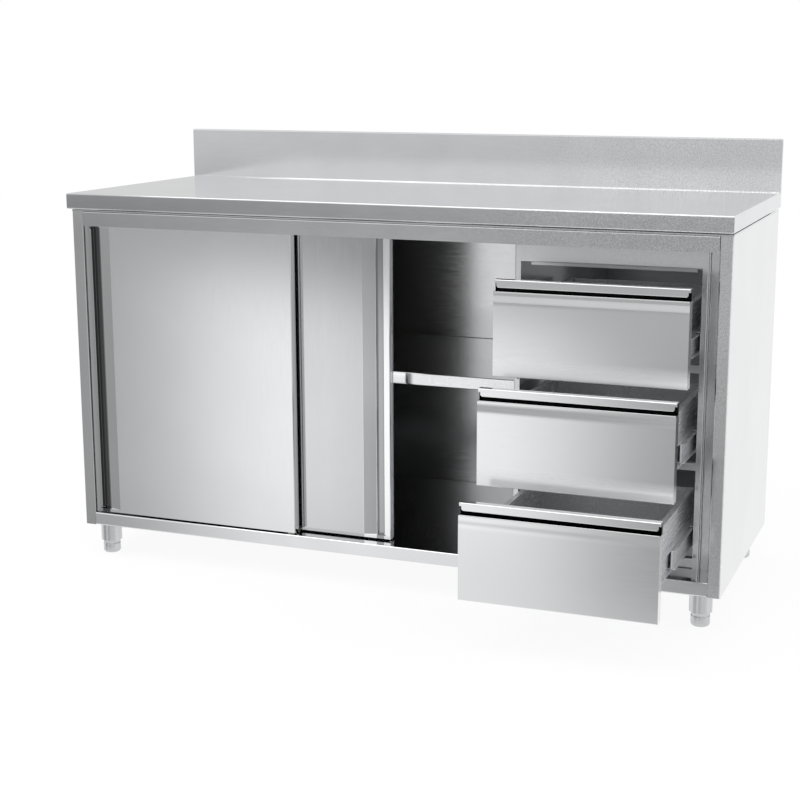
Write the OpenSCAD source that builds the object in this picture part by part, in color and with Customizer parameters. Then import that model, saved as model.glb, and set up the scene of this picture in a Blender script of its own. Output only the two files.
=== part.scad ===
// Stainless steel base cabinet: folded sheet carcass on four adjustable legs, two sliding doors
// in a twin top track, and a block of three drawers on telescopic slides.
// X runs to the right, Y to the back, Z up. The origin is on the floor, in the middle of the
// cabinet as it stands with its drawers pulled out.

/* [Overall] */
// Width over the worktop
cab_w = 1500; // [1440:10:1800]
// Depth over the worktop
cab_d = 600; // [590:5:700]
// Height of the working surface above the floor
work_h = 850; // [840:5:900]

/* [Sheet] */
// Thickness of the worktop sheet
top_sheet = 1.5; // [1.2:0.1:2]
// Thickness of the carcass sheet
sheet = 1.2; // [1:0.1:1.8]
// Thickness of the sheet of doors and drawers
skin = 1; // [0.8:0.1:1.3]
// Inner radius of a fold in carcass and worktop
bend_r = 1.5; // [1:0.1:2.5]
// Inner radius of a fold in doors and drawers
skin_bend_r = 0.8; // [0.7:0.1:1.2]
// Gap at a butted seam
seam = 0.3; // [0.2:0.1:0.6]

/* [Worktop] */
// Height of the folded edge
fold_h = 35; // [32:1:50]
// Width of the return under the folded edge
fold_return = 12; // [8:1:14]
// Height of the upstand above the working surface
upstand_h = 120; // [60:5:160]
// Thickness of the folded upstand
upstand_t = 12; // [10:1:20]
// Thickness of the underlay board
underlay_t = 16; // [12:1:18]
// Space between the underlay board and the folds' inner radius
underlay_gap = 0.5; // [0.5:0.5:4]
// Width of a hat rail under the underlay
hat_w = 60; // [40:5:80]
// Width of each brim of a hat rail
hat_brim = 14; // [10:1:20]
// Dark gap between worktop and carcass
shadow_gap = 6; // [4:1:10]

/* [Carcass] */
// How far the side panels stand in from the worktop's ends
side_inset = 2; // [1:1:10]
// How far the carcass stands back from the worktop's front
front_inset = 17; // [10:1:30]
// How far the carcass stands in from the worktop's back
back_inset = 10; // [5:1:30]
// Width of the folded front stile
stile_w = 27; // [24:1:40]
// Depth of the stile's return
stile_return = 11; // [8:1:11]
// Width of the other folds of a side panel
side_flange = 20; // [12:1:24]
// Width of a side panel's bottom flange
bottom_flange = 6; // [4:1:10]
// Height of the top rail
top_rail_h = 33; // [30:1:50]
// Height of the bottom rail
bottom_rail_h = 30; // [28:1:50]
// Depth of the top rear rail
rear_rail_d = 32; // [20:1:50]
// Width of the return under the bottom rail
rail_return = 12; // [8:1:14]

/* [Legs] */
// Height of the carcass above the floor
leg_h = 73; // [70:1:90]
// Outer diameter of a leg tube
tube_d = 48; // [40:1:50]
// Wall of a leg tube
tube_wall = 1.5; // [1:0.1:2]
// Height of the tube's lower end above the floor
tube_foot = 31; // [29:1:40]
// Distance of a leg's centre from the worktop's end
leg_side = 47; // [47:1:80]
// Distance of a front leg's centre from the carcass front
leg_front = 37; // [37:1:80]
// Distance of a rear leg's centre from the carcass back
leg_back = 47; // [40:1:80]
// Width of a leg plate
leg_plate_w = 62; // [62:1:66]
// Depth of a leg plate
leg_plate_d = 51; // [50:0.5:51.5]
// Thickness of the leg plate
leg_plate_t = 3; // [2:0.5:4]
// Diameter of a plate stud
stud_d = 6; // [5:1:6]
// Width across the corners of a plate nut
nut_d = 11; // [10:0.5:12]
// Height of a plate nut
nut_h = 5; // [4:0.5:6]
// Height of the threaded insert in the tube
insert_h = 16; // [10:1:18]
// Diameter of a foot's screw
screw_d = 12; // [10:1:14]
// Running clearance of the screw in its insert, on the radius
screw_play = 0.05; // [0.03:0.01:0.08]
// Diameter of a foot
foot_d = 40; // [34:1:40]
// Chamfer under a foot
foot_chamfer = 4; // [2:1:6]
// Height of a foot's body
foot_h = 36; // [33:1:38]
// How far a foot screws in from its place at rest
foot_in = 15; // [5:1:15]
// How far a foot screws out from its place at rest
foot_out = 20; // [5:1:20]
// Length of the screw that its insert still holds when the foot is out
screw_hold = 10; // [6:1:10]

/* [Doors] */
// Overlap of the closed doors
door_overlap = 31; // [20:1:60]
// Thickness of a door
door_t = 22; // [21:1:23]
// Distance between the front planes of the two doors
door_pitch = 31; // [30:1:33]
// How far the front door lies behind the carcass front
door_setback = 3.5; // [3:0.5:5]
// Gap between a closed door and what it closes against
door_side_gap = 2; // [1:0.5:3]
// Gap between a door that has run to the right and the drawer fronts
door_drawer_gap = 3; // [2:0.5:6]
// Gap under a door
door_lift = 4; // [3:0.5:5]
// How far a door reaches up behind the top rail
door_hidden = 5; // [3:1:8]
// How far the right door has been slid to the left
right_door_open = 266; // [0:1:480]
// Depth of the outer pan's side returns
shell_return = 13; // [12:1:14]
// Depth of the returns at top and bottom, on both pans
slot_return = 7; // [6:0.5:7]
// How deep the inner pan nests in the outer one
liner_nest = 3; // [2:0.5:5]
// Width of the grip strip at the door's edge
grip_w = 16; // [12:1:24]
// Width of the finger channel
channel_w = 17.5; // [14:0.5:24]
// Depth of the finger channel
channel_d = 11; // [8:0.5:12]
// Height of the plain band at each end of the finger channel
channel_end = 7; // [6:1:20]
// Chamfer at the ends of the grip strip
grip_chamfer = 5; // [2:1:8]
// Width of the face that slopes into the channel
slope_w = 30; // [10:1:50]
// Depth of that slope
slope_d = 4.5; // [2:0.5:6]

/* [Door running gear] */
// Outer width of one channel of the top track
track_w = 26; // [24:1:27]
// Gap between a door's top and the track
track_gap = 2; // [1:0.5:3]
// Width of the slot between the track's lips
track_slot = 9; // [7:0.5:10]
// Diameter of a roller
roller_d = 17; // [14:0.5:18]
// Width of a roller
roller_w = 6; // [4:0.5:6.5]
// Running gap above the track's lips and beside the hanger
roller_gap = 0.4; // [0.3:0.1:0.8]
// Diameter of the rollers' pin
pin_d = 4; // [3:0.5:5]
// Clearance between pin and roller, on the radius
pin_play = 0.06; // [0.03:0.01:0.08]
// Diameter of the pin's heads
pin_head_d = 7; // [6:0.5:8]
// Thickness of the pin's heads
pin_head_t = 1; // [0.8:0.1:1.5]
// Thickness of a hanger
hanger_t = 2.5; // [2:0.5:3]
// Width of a hanger
hanger_w = 40; // [24:2:60]
// How far a hanger reaches down into the door
hanger_down = 40; // [20:5:80]
// Distance of a hanger's centre from the door's edge
hanger_edge = 70; // [60:5:120]
// Length of a rubber end stop in the track
stop_len = 12; // [8:1:20]
// Half length of the floor guide
guide_half = 7; // [5:1:9]
// Thickness of the floor guide's plate
guide_base = 2; // [1.5:0.5:3]
// Height of the guide's fins above the floor panel
guide_h = 8; // [6:0.5:8]
// Thickness of a guide fin
guide_fin = 5; // [3:0.5:6]

/* [Shelf] */
// Height of the shelf above the floor
shelf_z = 472; // [250:1:600]
// Height of the shelf's folded edges
shelf_fold = 27; // [20:1:40]
// How far the shelf's front lies behind the carcass front
shelf_back = 101; // [95:1:200]
// Gap between the shelf and the back panel
shelf_rear_gap = 4; // [2:1:20]
// Gap at the shelf's ends
shelf_side_gap = 2; // [1:0.5:6]
// Width of the returns under the shelf's edges
shelf_return = 10; // [8:1:20]
// Height of the shelf's support angles
angle_h = 24; // [16:1:40]
// How far a support angle reaches under the shelf
angle_reach = 14; // [8:1:30]

/* [Drawer block] */
// Distance of the block from the right side panel's outer face
block_gap = 62; // [50:1:100]
// Width of the block's face frame
block_w = 408; // [380:2:450]
// How far the face frame lies behind the carcass front
block_back = 84; // [83:0.5:90]
// Width of the face frame's stiles
block_stile = 13; // [12:0.5:20]
// Depth of the face frame's outer returns
block_return = 24; // [14:1:40]
// Depth of the rails' returns
block_rail_return = 15; // [10:1:20]
// Height of the block's bottom rail
block_rail_h = 22; // [18:1:40]
// Height of a rail between two openings
mid_rail_h = 17; // [16:1:30]
// Height of the top rail above the top opening
block_top_h = 38; // [20:1:60]
// Extra height of the top opening
top_clear = 8; // [0:1:20]
// Gap between the block and the rails over it
block_top_gap = 7; // [5:1:20]
// Width of the side plates' flanges
block_flange = 15; // [10:1:20]
// Drop of the top panel's front fold
top_fold = 47; // [20:1:48]
// How far that fold stops short of the side plates
top_fold_gap = 15; // [10:1:20]
// Gap between the face frame and the filler strip beside it
filler_gap = 3.5; // [2:0.5:5]
// Depth of the filler strip's folds
filler_fold = 15; // [10:1:20]

/* [Drawers] */
// Gap between the floor panel and the lowest front
front_lift = 2; // [1.5:0.5:6]
// Width of a drawer front
front_w = 398; // [390:1:404]
// Gap between two drawer fronts
front_space = 8; // [6:1:12]
// Thickness of a drawer front
front_t = 24; // [23:0.5:24.5]
// Gap between a closed front and the face frame
front_gap = 1; // [0.8:0.1:1.5]
// Height of the part of the front that slopes back
slope_h = 30; // [20:0.5:50]
// Height of the slit
slit_h = 6.5; // [5:0.5:8]
// Height of the lip above the slit
lip_h = 17; // [15:0.5:24]
// How far the slope runs back
front_slope_d = 1; // [0.5:0.1:2]
// How far the lip lies behind the front
lip_back = 6; // [3:0.5:6.5]
// Height of the hem inside the lip
lip_hem = 8; // [4:0.5:10]
// How far the lip stops short of the front's end
lip_short = 4.5; // [3:0.5:8]
// Chamfer at the lip's lower corners
lip_chamfer = 4; // [2:0.5:6]
// Height of the notch beside the lip
lip_notch = 10; // [6:0.5:12]
// Depth of the slit's notch in each end of a front
end_notch = 14; // [10:0.5:18]
// Depth of a drawer box
box_d = 440; // [400:5:470]
// Height of a box's lower edge above the front's lower edge
box_z = 25; // [22:1:40]
// Height of a box's sides
box_h = 120; // [100:1:140]
// Width of the folds along the box's upper edges
box_hem = 13; // [8:1:20]
// Drop of those folds
box_hem_drop = 9; // [5:1:14]
// How far the top drawer is pulled out
pull_top = 133; // [0:1:330]
// How far the middle drawer is pulled out
pull_mid = 228; // [0:1:330]
// How far the bottom drawer is pulled out
pull_low = 337; // [330:1:400]

/* [Drawer slides] */
// Thickness of a slide, from box to block
slide_t = 20; // [18:0.5:24]
// Height of a slide
slide_h = 46; // [40:1:50]
// Distance of the slides' upper edge below the box's upper edge
slide_drop = 57; // [50:1:70]
// Length of a slide
slide_len = 430; // [380:5:440]
// Thickness of a slide's steel
slide_steel = 1.5; // [1.2:0.1:2]
// Gap between the nested members, filled by the balls
slide_ball = 2; // [1.5:0.1:2.5]
// Side gap between the members
slide_play = 0.5; // [0.4:0.1:0.8]
// How far a slide starts behind the face frame
slide_start = 5; // [2:1:10]
// Diameter of a rubber buffer on the face frame
buffer_d = 6; // [4:0.5:7]
// Clearance between buffer and closed front
buffer_gap = 0.3; // [0.2:0.1:0.4]

/* [Hidden] */
$fn = 48;

// Steps of a fold's arc, one for this many degrees
arc_step = 30;
// Facets of the rolled slope on a drawer front, an odd number
slope_steps = 11;

// Cabinet planes
front_y = -cab_d / 2;
back_y = cab_d / 2;
top_z = work_h + upstand_h;
fold_z = work_h - fold_h;
car_front = front_y + front_inset;
car_back = back_y - back_inset;
car_top = fold_z - shadow_gap;
side_x = cab_w / 2 - side_inset;
stile_x = side_x - stile_w;
rail_z = car_top - top_rail_h;
floor_z = leg_h + bottom_rail_h;
under_floor = floor_z - sheet;
panel_x = side_x - sheet;
back_face = car_back - 2 * sheet;
flange_z = car_top - sheet;

// Doors and running gear
door_y = [car_front + door_setback, car_front + door_setback + door_pitch];
door_mid = door_t / 2;
door_z = floor_z + door_lift;
door_top = rail_z + door_hidden;
door_h = door_top - door_z;
track_z = door_top + track_gap;
track_back = door_y[1] + door_mid + track_w / 2;
rail_back = track_back + seam + sheet;
lip_top = track_z + sheet;
roller_z = lip_top + roller_gap + roller_d / 2;
roller_in = hanger_t / 2 + roller_gap;
pin_len = 2 * (roller_in + roller_w + roller_gap);

// Drawer block
block_x1 = side_x - block_gap;
block_x0 = block_x1 - block_w;
block_xc = (block_x0 + block_x1) / 2;
block_y = car_front + block_back;
open_w = block_w - 2 * block_stile;
levels = [2, 1, 0];
opening_z = floor_z + block_rail_h;
block_top = rail_z - block_top_gap;
drawer_pitch = (block_top - block_top_h - top_clear - opening_z + mid_rail_h) / len(levels);
front_x0 = block_xc - front_w / 2;

// Doors run between the left stile and the drawer fronts
door_x0 = -stile_x + door_side_gap;
door_x1 = front_x0 - door_drawer_gap;
door_w = (door_x1 - door_x0 + door_overlap) / 2;
left_door_x = door_x0;
right_door_x = door_x1 - door_w - right_door_open;
guide_x = (door_x0 + door_x1) / 2;

// Drawers
closed_y = block_y - front_gap - front_t;
pulls = [pull_top, pull_mid, pull_low];
front_h = drawer_pitch - front_space;
lip_z = front_h - lip_h;
slit_z = lip_z - slit_h;
slope_z = slit_z - slope_h;
slope = [for (i = [0:slope_steps]) let (t = i / slope_steps)
    [front_slope_d * (t - sin(360 * t) / (2 * PI)), slope_z + slope_h * t]];
box_w = open_w - 2 * slide_t;
box_top = box_z + box_h;
slide_z1 = box_top - slide_drop;
slide_z0 = slide_z1 - slide_h;
slide_y = block_y + slide_start;

// Legs
leg_x = cab_w / 2 - leg_side;
leg_y = [car_front + leg_front, car_back - leg_back];
plate_z = under_floor - leg_plate_t;
insert_z = foot_h + foot_in + 1;
stem_top = insert_z + foot_out + screw_hold;
stud_x = (leg_plate_w - nut_d) / 2 - 1;
stud_y = (leg_plate_d - nut_d) / 2 - 1;

// The origin lies in the middle of the cabinet with its drawers pulled out
rest_front = closed_y - pull_low;
shift_y = -(rest_front + back_y) / 2;

// Colours
satin = "#a9abad";
bright = "#c9cbce";
dull = "#8c8e90";
zinc = "#b4b6b8";
board = "#8a6f4d";
black = "#2b2b2c";
nylon = "#d9d6cc";

// Moves a piece from the cabinet's own middle to the part's origin
module place() {
    translate([0, shift_y, 0]) children();
}

// Direction of a vector
function unit(v) = v / norm(v);

// Direction to the right of a direction
function right_of(v) = [v[1], -v[0]];

// A vector turned to the left by an angle
function turned(v, g) = [v[0] * cos(g) - v[1] * sin(g), v[0] * sin(g) + v[1] * cos(g)];

// Angle from one direction to another, positive to the left
function angle_of(a, b) = atan2(a[0] * b[1] - a[1] * b[0], a * b);

// Points of one face of the sheet at a corner: side 0 is the drawn face, side 1 the far face
function bend(p, q, n, r, t, side) =
    let (a = unit(q - p), g = angle_of(a, unit(n - q)), s = sign(g))
    let (face_r = s > 0 ? r : r + t, steps = max(1, round(abs(g) / arc_step)))
    let (c = q - a * face_r * tan(abs(g) / 2) - right_of(a) * face_r * s)
    let (arm = right_of(a) * s * (face_r + s * side * t))
    [for (i = [0:steps]) c + turned(arm, i * g / steps)];

// All points of one face along a path
function face_points(path, r, t, side) =
    let (last = len(path) - 1)
    let (head = path[0] + right_of(unit(path[1] - path[0])) * t * side)
    let (tail = path[last] + right_of(unit(path[last] - path[last - 1])) * t * side)
    concat([head],
        [for (i = [1:1:last - 1]) each bend(path[i - 1], path[i], path[i + 1], r, t, side)],
        [tail]);

function backwards(list) = [for (i = [len(list) - 1:-1:0]) list[i]];

// A folded strip of sheet: the path is its face, and the metal lies to the right of it
module folded(path, r, t, length) {
    linear_extrude(height = length)
        polygon(concat(face_points(path, r, t, 0), backwards(face_points(path, r, t, 1))));
}

// Profile given as (y, z), run along X from x0
module along_x(x0) {
    translate([x0, 0, 0]) rotate([90, 0, 90]) children();
}

// Profile given as (x, z), run along Y from y0 for a length
module along_y(y0, length) {
    translate([0, y0 + length, 0]) rotate([90, 0, 0]) children();
}

// A block between two corners
module block(a, b) {
    translate(a) cube(b - a);
}

// The same piece on both sides of a plane at x
module both_sides(x) {
    children();
    translate([2 * x, 0, 0]) mirror([1, 0, 0]) children();
}

// A hat rail along Y: brims up, crown down
module hat_y(x, y0, y1, z0, z1) {
    half = hat_w / 2;
    crown = half - hat_brim;
    along_y(y0, y1 - y0)
        folded([[x + half, z1 - sheet], [x + crown, z1 - sheet], [x + crown, z0],
            [x - crown, z0], [x - crown, z1 - sheet], [x - half, z1 - sheet]],
            bend_r, sheet, y1 - y0);
}

// A hat rail along X: brims up, crown down
module hat_x(y, x0, x1, z0, z1) {
    half = hat_w / 2;
    crown = half - hat_brim;
    along_x(x0)
        folded([[y + half, z1 - sheet], [y + crown, z1 - sheet], [y + crown, z0],
            [y - crown, z0], [y - crown, z1 - sheet], [y - half, z1 - sheet]],
            bend_r, sheet, x1 - x0);
}

// Worktop: one sheet with folded edges and the upstand folded up at the back
module worktop() {
    in_x = cab_w / 2 - fold_return;
    up_y = back_y - upstand_t;
    foot = bend_r * (1 - cos(45));
    color(bright)
        difference() {
            union() {
                tray(0);
                upstand(0);
                along_x(-cab_w / 2 + bend_r)
                    linear_extrude(height = cab_w - 2 * bend_r)
                        polygon([[up_y - bend_r, work_h - top_sheet / 2], [up_y - bend_r, work_h],
                            [up_y - foot, work_h + foot], [up_y, work_h + bend_r],
                            [up_y + top_sheet / 2, work_h + bend_r]]);
            }
            tray(1);
            upstand(1);
            block([-in_x, front_y + fold_return, fold_z - 1],
                [in_x, back_y - fold_return, fold_z + 2 * top_sheet]);
        }
}

// The worktop's flat box: side 0 gives its outside and side 1 the hollow in it
module tray(side) {
    intersection() {
        along_x(-cab_w / 2)
            linear_extrude(height = cab_w)
                polygon(face_points(tray_path(cab_d / 2), bend_r, top_sheet, side));
        along_y(front_y, cab_d)
            linear_extrude(height = cab_d)
                polygon(face_points(tray_path(cab_w / 2), bend_r, top_sheet, side));
    }
}

// Section of that box for half its width or depth
function tray_path(half) = [[-half + fold_return, fold_z], [-half, fold_z], [-half, work_h],
    [half, work_h], [half, fold_z], [half - fold_return, fold_z]];

// The upstand: side 0 gives its outside and side 1 the hollow in it, open to the tray
module upstand(side) {
    y0 = back_y - upstand_t;
    z0 = fold_z + 2 * top_sheet;
    intersection() {
        along_x(-cab_w / 2)
            linear_extrude(height = cab_w)
                polygon(face_points([[y0, z0], [y0, top_z], [back_y, top_z], [back_y, z0]],
                    bend_r, top_sheet, side));
        along_y(y0 - 1, upstand_t + 2)
            linear_extrude(height = upstand_t + 2)
                polygon(face_points([[-cab_w / 2, z0], [-cab_w / 2, top_z], [cab_w / 2, top_z],
                    [cab_w / 2, z0]], bend_r, top_sheet, side));
    }
}

// Underlay board glued under the worktop sheet
module worktop_underlay() {
    inset = top_sheet + bend_r + underlay_gap;
    x = cab_w / 2 - inset;
    z1 = work_h - top_sheet;
    color(board)
        block([-x, front_y + inset, z1 - underlay_t],
            [x, back_y - upstand_t - underlay_gap, z1]);
}

// Hat rails that carry the worktop on the carcass and leave the dark gap
module worktop_hat_rails() {
    z1 = work_h - top_sheet - underlay_t;
    color(zinc)
        for (i = [-1.5:1:1.5]) {
            hat_y(i * cab_w / 4, car_front + 2 * sheet, back_face, car_top, z1);
        }
}

// Side panel with its folded stile, back fold, and top and bottom flanges
module side_panel() {
    in_x = side_x - side_flange;
    color(bright) {
        translate([0, 0, leg_h])
            folded([[-stile_x, car_front + stile_return], [-stile_x, car_front],
                [-side_x, car_front], [-side_x, car_back], [-in_x, car_back]],
                bend_r, sheet, car_top - leg_h);
        block([-panel_x, rail_back + seam, flange_z],
            [-in_x, back_face - rear_rail_d - seam, car_top]);
        block([-panel_x, car_front + leg_front, leg_h],
            [-panel_x + bottom_flange, car_back - sheet, leg_h + sheet]);
    }
}

module side_panel_left() {
    side_panel();
}

module side_panel_right() {
    mirror([1, 0, 0]) side_panel();
}

// Back panel, held between the folds of the side panels and the floor panel
module back_panel() {
    x = panel_x - bend_r;
    color(satin)
        block([-x, back_face, leg_h + sheet + seam], [x, back_face + sheet, flange_z]);
}

// Floor panel with the bottom rail folded down in front and a fold at the back
module floor_panel() {
    x = stile_x - seam;
    out_x = panel_x - seam;
    color(bright) {
        along_x(-x)
            folded([[car_front + rail_return, leg_h], [car_front, leg_h], [car_front, floor_z],
                [back_face, floor_z], [back_face, leg_h], [back_face - rail_return, leg_h]],
                bend_r, sheet, 2 * x);
        both_sides(0) {
            block([x - sheet, car_front + stile_return + seam, under_floor],
                [out_x, back_face, floor_z]);
            block([out_x - sheet, car_front + stile_return + seam, leg_h + sheet + seam],
                [out_x, back_face, floor_z]);
        }
    }
}

// Stiffeners welded under the floor panel
module floor_stiffeners() {
    x = leg_x - tube_d;
    gap = (leg_y[1] - leg_y[0]) / 3;
    color(dull)
        for (i = [1, 2]) {
            hat_x(leg_y[0] + i * gap, -x, x, leg_h + sheet, under_floor);
        }
}

// Top front rail: its top flange also carries the door track
module top_front_rail() {
    x = stile_x - seam;
    color(bright)
        along_x(-x)
            folded([[car_front, rail_z], [car_front, car_top], [rail_back, car_top],
                [rail_back, rail_z + door_hidden]], bend_r, sheet, 2 * x);
}

module top_rear_rail() {
    x = panel_x - seam;
    y0 = back_face - rear_rail_d;
    color(dull)
        along_x(-x)
            folded([[y0, rail_z + sheet], [y0, car_top], [back_face, car_top],
                [back_face, rail_z], [y0 + 2 * sheet, rail_z]], bend_r, sheet, 2 * x);
}

// One channel of the door track, open at its slot
module track_channel(y) {
    half = track_w / 2;
    slot = track_slot / 2;
    h = flange_z - track_z;
    along_x(-stile_x + seam)
        folded([[y - slot, track_z], [y - half, track_z], [y - half, track_z + h],
            [y + half, track_z + h], [y + half, track_z], [y + slot, track_z]],
            bend_r, sheet, 2 * (stile_x - seam));
}

module door_track() {
    web0 = door_y[0] + door_mid;
    web1 = door_y[1] + door_mid;
    color(satin) {
        track_channel(web0);
        track_channel(web1);
        block([-stile_x + seam, web0, flange_z - sheet], [stile_x - seam, web1, flange_z]);
    }
}

// Rubber stops in the track, where the end hangers arrive
module track_stops() {
    y_half = track_w / 2 - sheet - bend_r;
    left = door_x0 + hanger_edge - hanger_w / 2 - seam;
    right = door_x1 - hanger_edge + hanger_w / 2 + seam;
    color(black)
        for (i = [0, 1]) {
            y = door_y[i] + door_mid;
            block([left - stop_len, y - y_half, lip_top], [left, y + y_half, flange_z - sheet]);
            block([right, y - y_half, lip_top], [right + stop_len, y + y_half, flange_z - sheet]);
        }
}

// Twin guide on the floor panel, in the slot under each door
module door_floor_guide() {
    y0 = door_y[0] + door_mid - guide_fin / 2;
    y1 = door_y[1] + door_mid + guide_fin / 2;
    color(nylon) {
        block([guide_x - guide_half, y0, floor_z], [guide_x + guide_half, y1, floor_z + guide_base]);
        for (y = [y0, y1 - guide_fin]) {
            block([guide_x - guide_half, y, floor_z],
                [guide_x + guide_half, y + guide_fin, floor_z + guide_h]);
        }
    }
}

// Shelf: a folded pan between the left side panel and the drawer block
module shelf() {
    x0 = -panel_x + shelf_side_gap;
    x1 = block_x0 - shelf_side_gap;
    y0 = car_front + shelf_back;
    y1 = back_face - shelf_rear_gap;
    z0 = shelf_z - shelf_fold;
    r = bend_r + sheet;
    color(bright) {
        along_x(x0)
            folded([[y0 + shelf_return, z0], [y0, z0], [y0, shelf_z], [y1, shelf_z],
                [y1, z0], [y1 - shelf_return, z0]], bend_r, sheet, x1 - x0);
        block([x0, y0 + r, z0], [x0 + sheet, y1 - r, shelf_z - sheet]);
        block([x1 - sheet, y0 + r, z0], [x1, y1 - r, shelf_z - sheet]);
    }
}

// Angles on the side panel and on the drawer block that carry the shelf
module shelf_angles() {
    z1 = shelf_z - shelf_fold;
    y0 = block_y + block_return + 2 * seam;
    run = back_face - block_flange - seam - y0;
    left = -panel_x;
    right = block_x0 + block_stile - sheet;
    color(satin) {
        along_y(y0, run)
            folded([[left + sheet, z1 - angle_h], [left + sheet, z1],
                [left + shelf_side_gap + angle_reach, z1]], bend_r, sheet, run);
        along_y(y0, run)
            folded([[block_x0 - shelf_side_gap - angle_reach, z1], [right, z1],
                [right, z1 - angle_h]], bend_r, sheet, run);
    }
}

// Face frame of the drawer block: stiles folded back on their outside, rails on both edges
module block_face_frame() {
    h = block_top - floor_z;
    color(bright) {
        both_sides(block_xc)
            translate([0, 0, floor_z])
                folded([[block_x0 + block_stile, block_y], [block_x0, block_y],
                    [block_x0, block_y + block_return],
                    [block_x0 + block_stile - sheet, block_y + block_return]],
                    bend_r, sheet, h);
        block_rail(floor_z, opening_z);
        for (i = [1, 2]) {
            z = opening_z + i * drawer_pitch;
            block_rail(z - mid_rail_h, z);
        }
        block_rail(block_top - block_top_h, block_top);
    }
}

module block_rail(z0, z1) {
    x = block_x0 + block_stile;
    along_x(x)
        folded([[block_y + block_rail_return, z0], [block_y, z0], [block_y, z1],
            [block_y + block_rail_return, z1]], bend_r, sheet, open_w);
}

// Side plate of the block, with flanges on the floor, the back panel and under the top panel
module block_side() {
    x = block_x0 + block_stile - sheet;
    y0 = block_y + sheet;
    z1 = block_top - sheet;
    color(satin) {
        block([x, y0, floor_z], [x + sheet, back_face, z1]);
        block([x - block_flange, back_face - sheet, floor_z], [x, back_face, z1]);
        block([x - block_flange, block_y + block_return + seam, floor_z],
            [x, back_face, floor_z + sheet]);
        block([x - block_flange, block_y + block_return + seam, z1 - sheet], [x, back_face, z1]);
    }
}

module block_side_left() {
    block_side();
}

module block_side_right() {
    translate([2 * block_xc, 0, 0]) mirror([1, 0, 0]) block_side();
}

// Panel over the drawer block, folded down between the side plates in front and at the back
module block_top_panel() {
    x0 = block_x0 + block_stile - sheet - block_flange;
    x1 = 2 * block_xc - x0;
    in_x0 = block_xc - open_w / 2 + seam;
    in_x1 = block_xc + open_w / 2 - seam;
    y0 = block_y + block_return + seam;
    z = block_top - sheet;
    color(satin) {
        block([x0, y0, z], [x1, back_face, z + sheet]);
        block([in_x0, back_face - sheet, z - block_flange], [in_x1, back_face, z]);
        block([in_x0 + top_fold_gap, y0, block_top - top_fold],
            [in_x1 - top_fold_gap, y0 + sheet, z]);
    }
}

// Strip that closes the space between the face frame and the right side panel
module block_filler() {
    x0 = block_x1 + filler_gap;
    x1 = panel_x - seam;
    color(bright)
        translate([0, 0, floor_z])
            folded([[x1, block_y + filler_fold], [x1, block_y], [x0, block_y],
                [x0, block_y + filler_fold]], bend_r, sheet, block_top - floor_z);
}

// Rubber buffers on the face frame, behind each drawer front
module drawer_buffers() {
    color(black)
        for (level = levels, side = [-1, 1], z = [front_h / 8, front_h * 7 / 8]) {
            x = block_xc + side * (open_w / 2 + (front_w - open_w) / 4);
            translate([x, block_y, floor_z + front_lift + level * drawer_pitch + z])
                rotate([90, 0, 0]) cylinder(d = buffer_d, h = front_gap - buffer_gap);
        }
}

// A C-shaped slide member: its web lies at x, and it opens towards side
module slide_channel(x, side, y0, z0) {
    deep = (slide_t - slide_play) / 2;
    h = slide_h;
    translate([x, y0, z0])
        mirror([side < 0 ? 1 : 0, 0, 0]) {
            block([0, 0, 0], [slide_steel, slide_len, h]);
            block([0, 0, 0], [deep, slide_len, slide_steel]);
            block([0, 0, h - slide_steel], [deep, slide_len, h]);
        }
}

// Members fixed to the block's side plates
module cabinet_slide_members() {
    color(zinc)
        for (level = levels, side = [-1, 1]) {
            slide_channel(block_xc + side * open_w / 2, -side, slide_y,
                floor_z + front_lift + level * drawer_pitch + slide_z0);
        }
}

// Middle members, which follow a drawer at half its travel
module middle_members(i) {
    h = slide_h - 2 * slide_steel - 2 * slide_ball;
    w = slide_t - 2 * slide_steel - 2 * slide_play;
    z = floor_z + front_lift + levels[i] * drawer_pitch + slide_z0 + slide_steel + slide_ball;
    color(zinc)
        for (side = [-1, 1]) {
            x = block_xc + side * (open_w - slide_t) / 2;
            translate([x, slide_y - pulls[i] / 2, z]) {
                block([-slide_steel, 0, 0], [slide_steel, slide_len, h]);
                block([-w / 2, 0, 0], [w / 2, slide_len, slide_steel]);
                block([-w / 2, 0, h - slide_steel], [w / 2, slide_len, h]);
            }
        }
}

module top_slide_middle_members() {
    middle_members(0);
}

module middle_slide_middle_members() {
    middle_members(1);
}

module bottom_slide_middle_members() {
    middle_members(2);
}

// Moves a piece that is drawn from the middle of a front's lower edge to drawer i
module drawer(i) {
    translate([block_xc, closed_y - pulls[i], floor_z + front_lift + levels[i] * drawer_pitch])
        children();
}

// Drawer front: one sheet, rolled back a little under a slit. There it turns round a finger
// pocket and comes down in front of it as a hemmed lip.
module drawer_front() {
    half = front_w / 2;
    pocket_y = front_t - skin;
    lip_y = lip_back + skin;
    hem_gap = 2 * skin_bend_r;
    color(satin) {
        difference() {
            along_x(-half + skin)
                folded([[front_t, 0], [0, 0], each slope,
                    [pocket_y, slit_z], [pocket_y, front_h - skin], [lip_y, front_h - skin],
                    [lip_y, lip_z + skin], [lip_y + hem_gap, lip_z + skin],
                    [lip_y + hem_gap, lip_z + skin + lip_hem]],
                    skin_bend_r, skin, front_w - 2 * skin);
            both_sides(0) lip_cut(half, lip_y + hem_gap + skin);
        }
        both_sides(0) front_end(half);
    }
}

// What is cut away at the lip's end
module lip_cut(half, depth) {
    x = half - lip_short;
    z = lip_z;
    along_y(lip_back - 1, depth - lip_back + 1 + skin)
        linear_extrude(height = depth - lip_back + 1 + skin)
            polygon([[x - lip_chamfer, z - 1], [half, z - 1], [half, z + lip_notch],
                [x, z + lip_notch], [x, z + lip_chamfer], [x - lip_chamfer, z]]);
}

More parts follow.
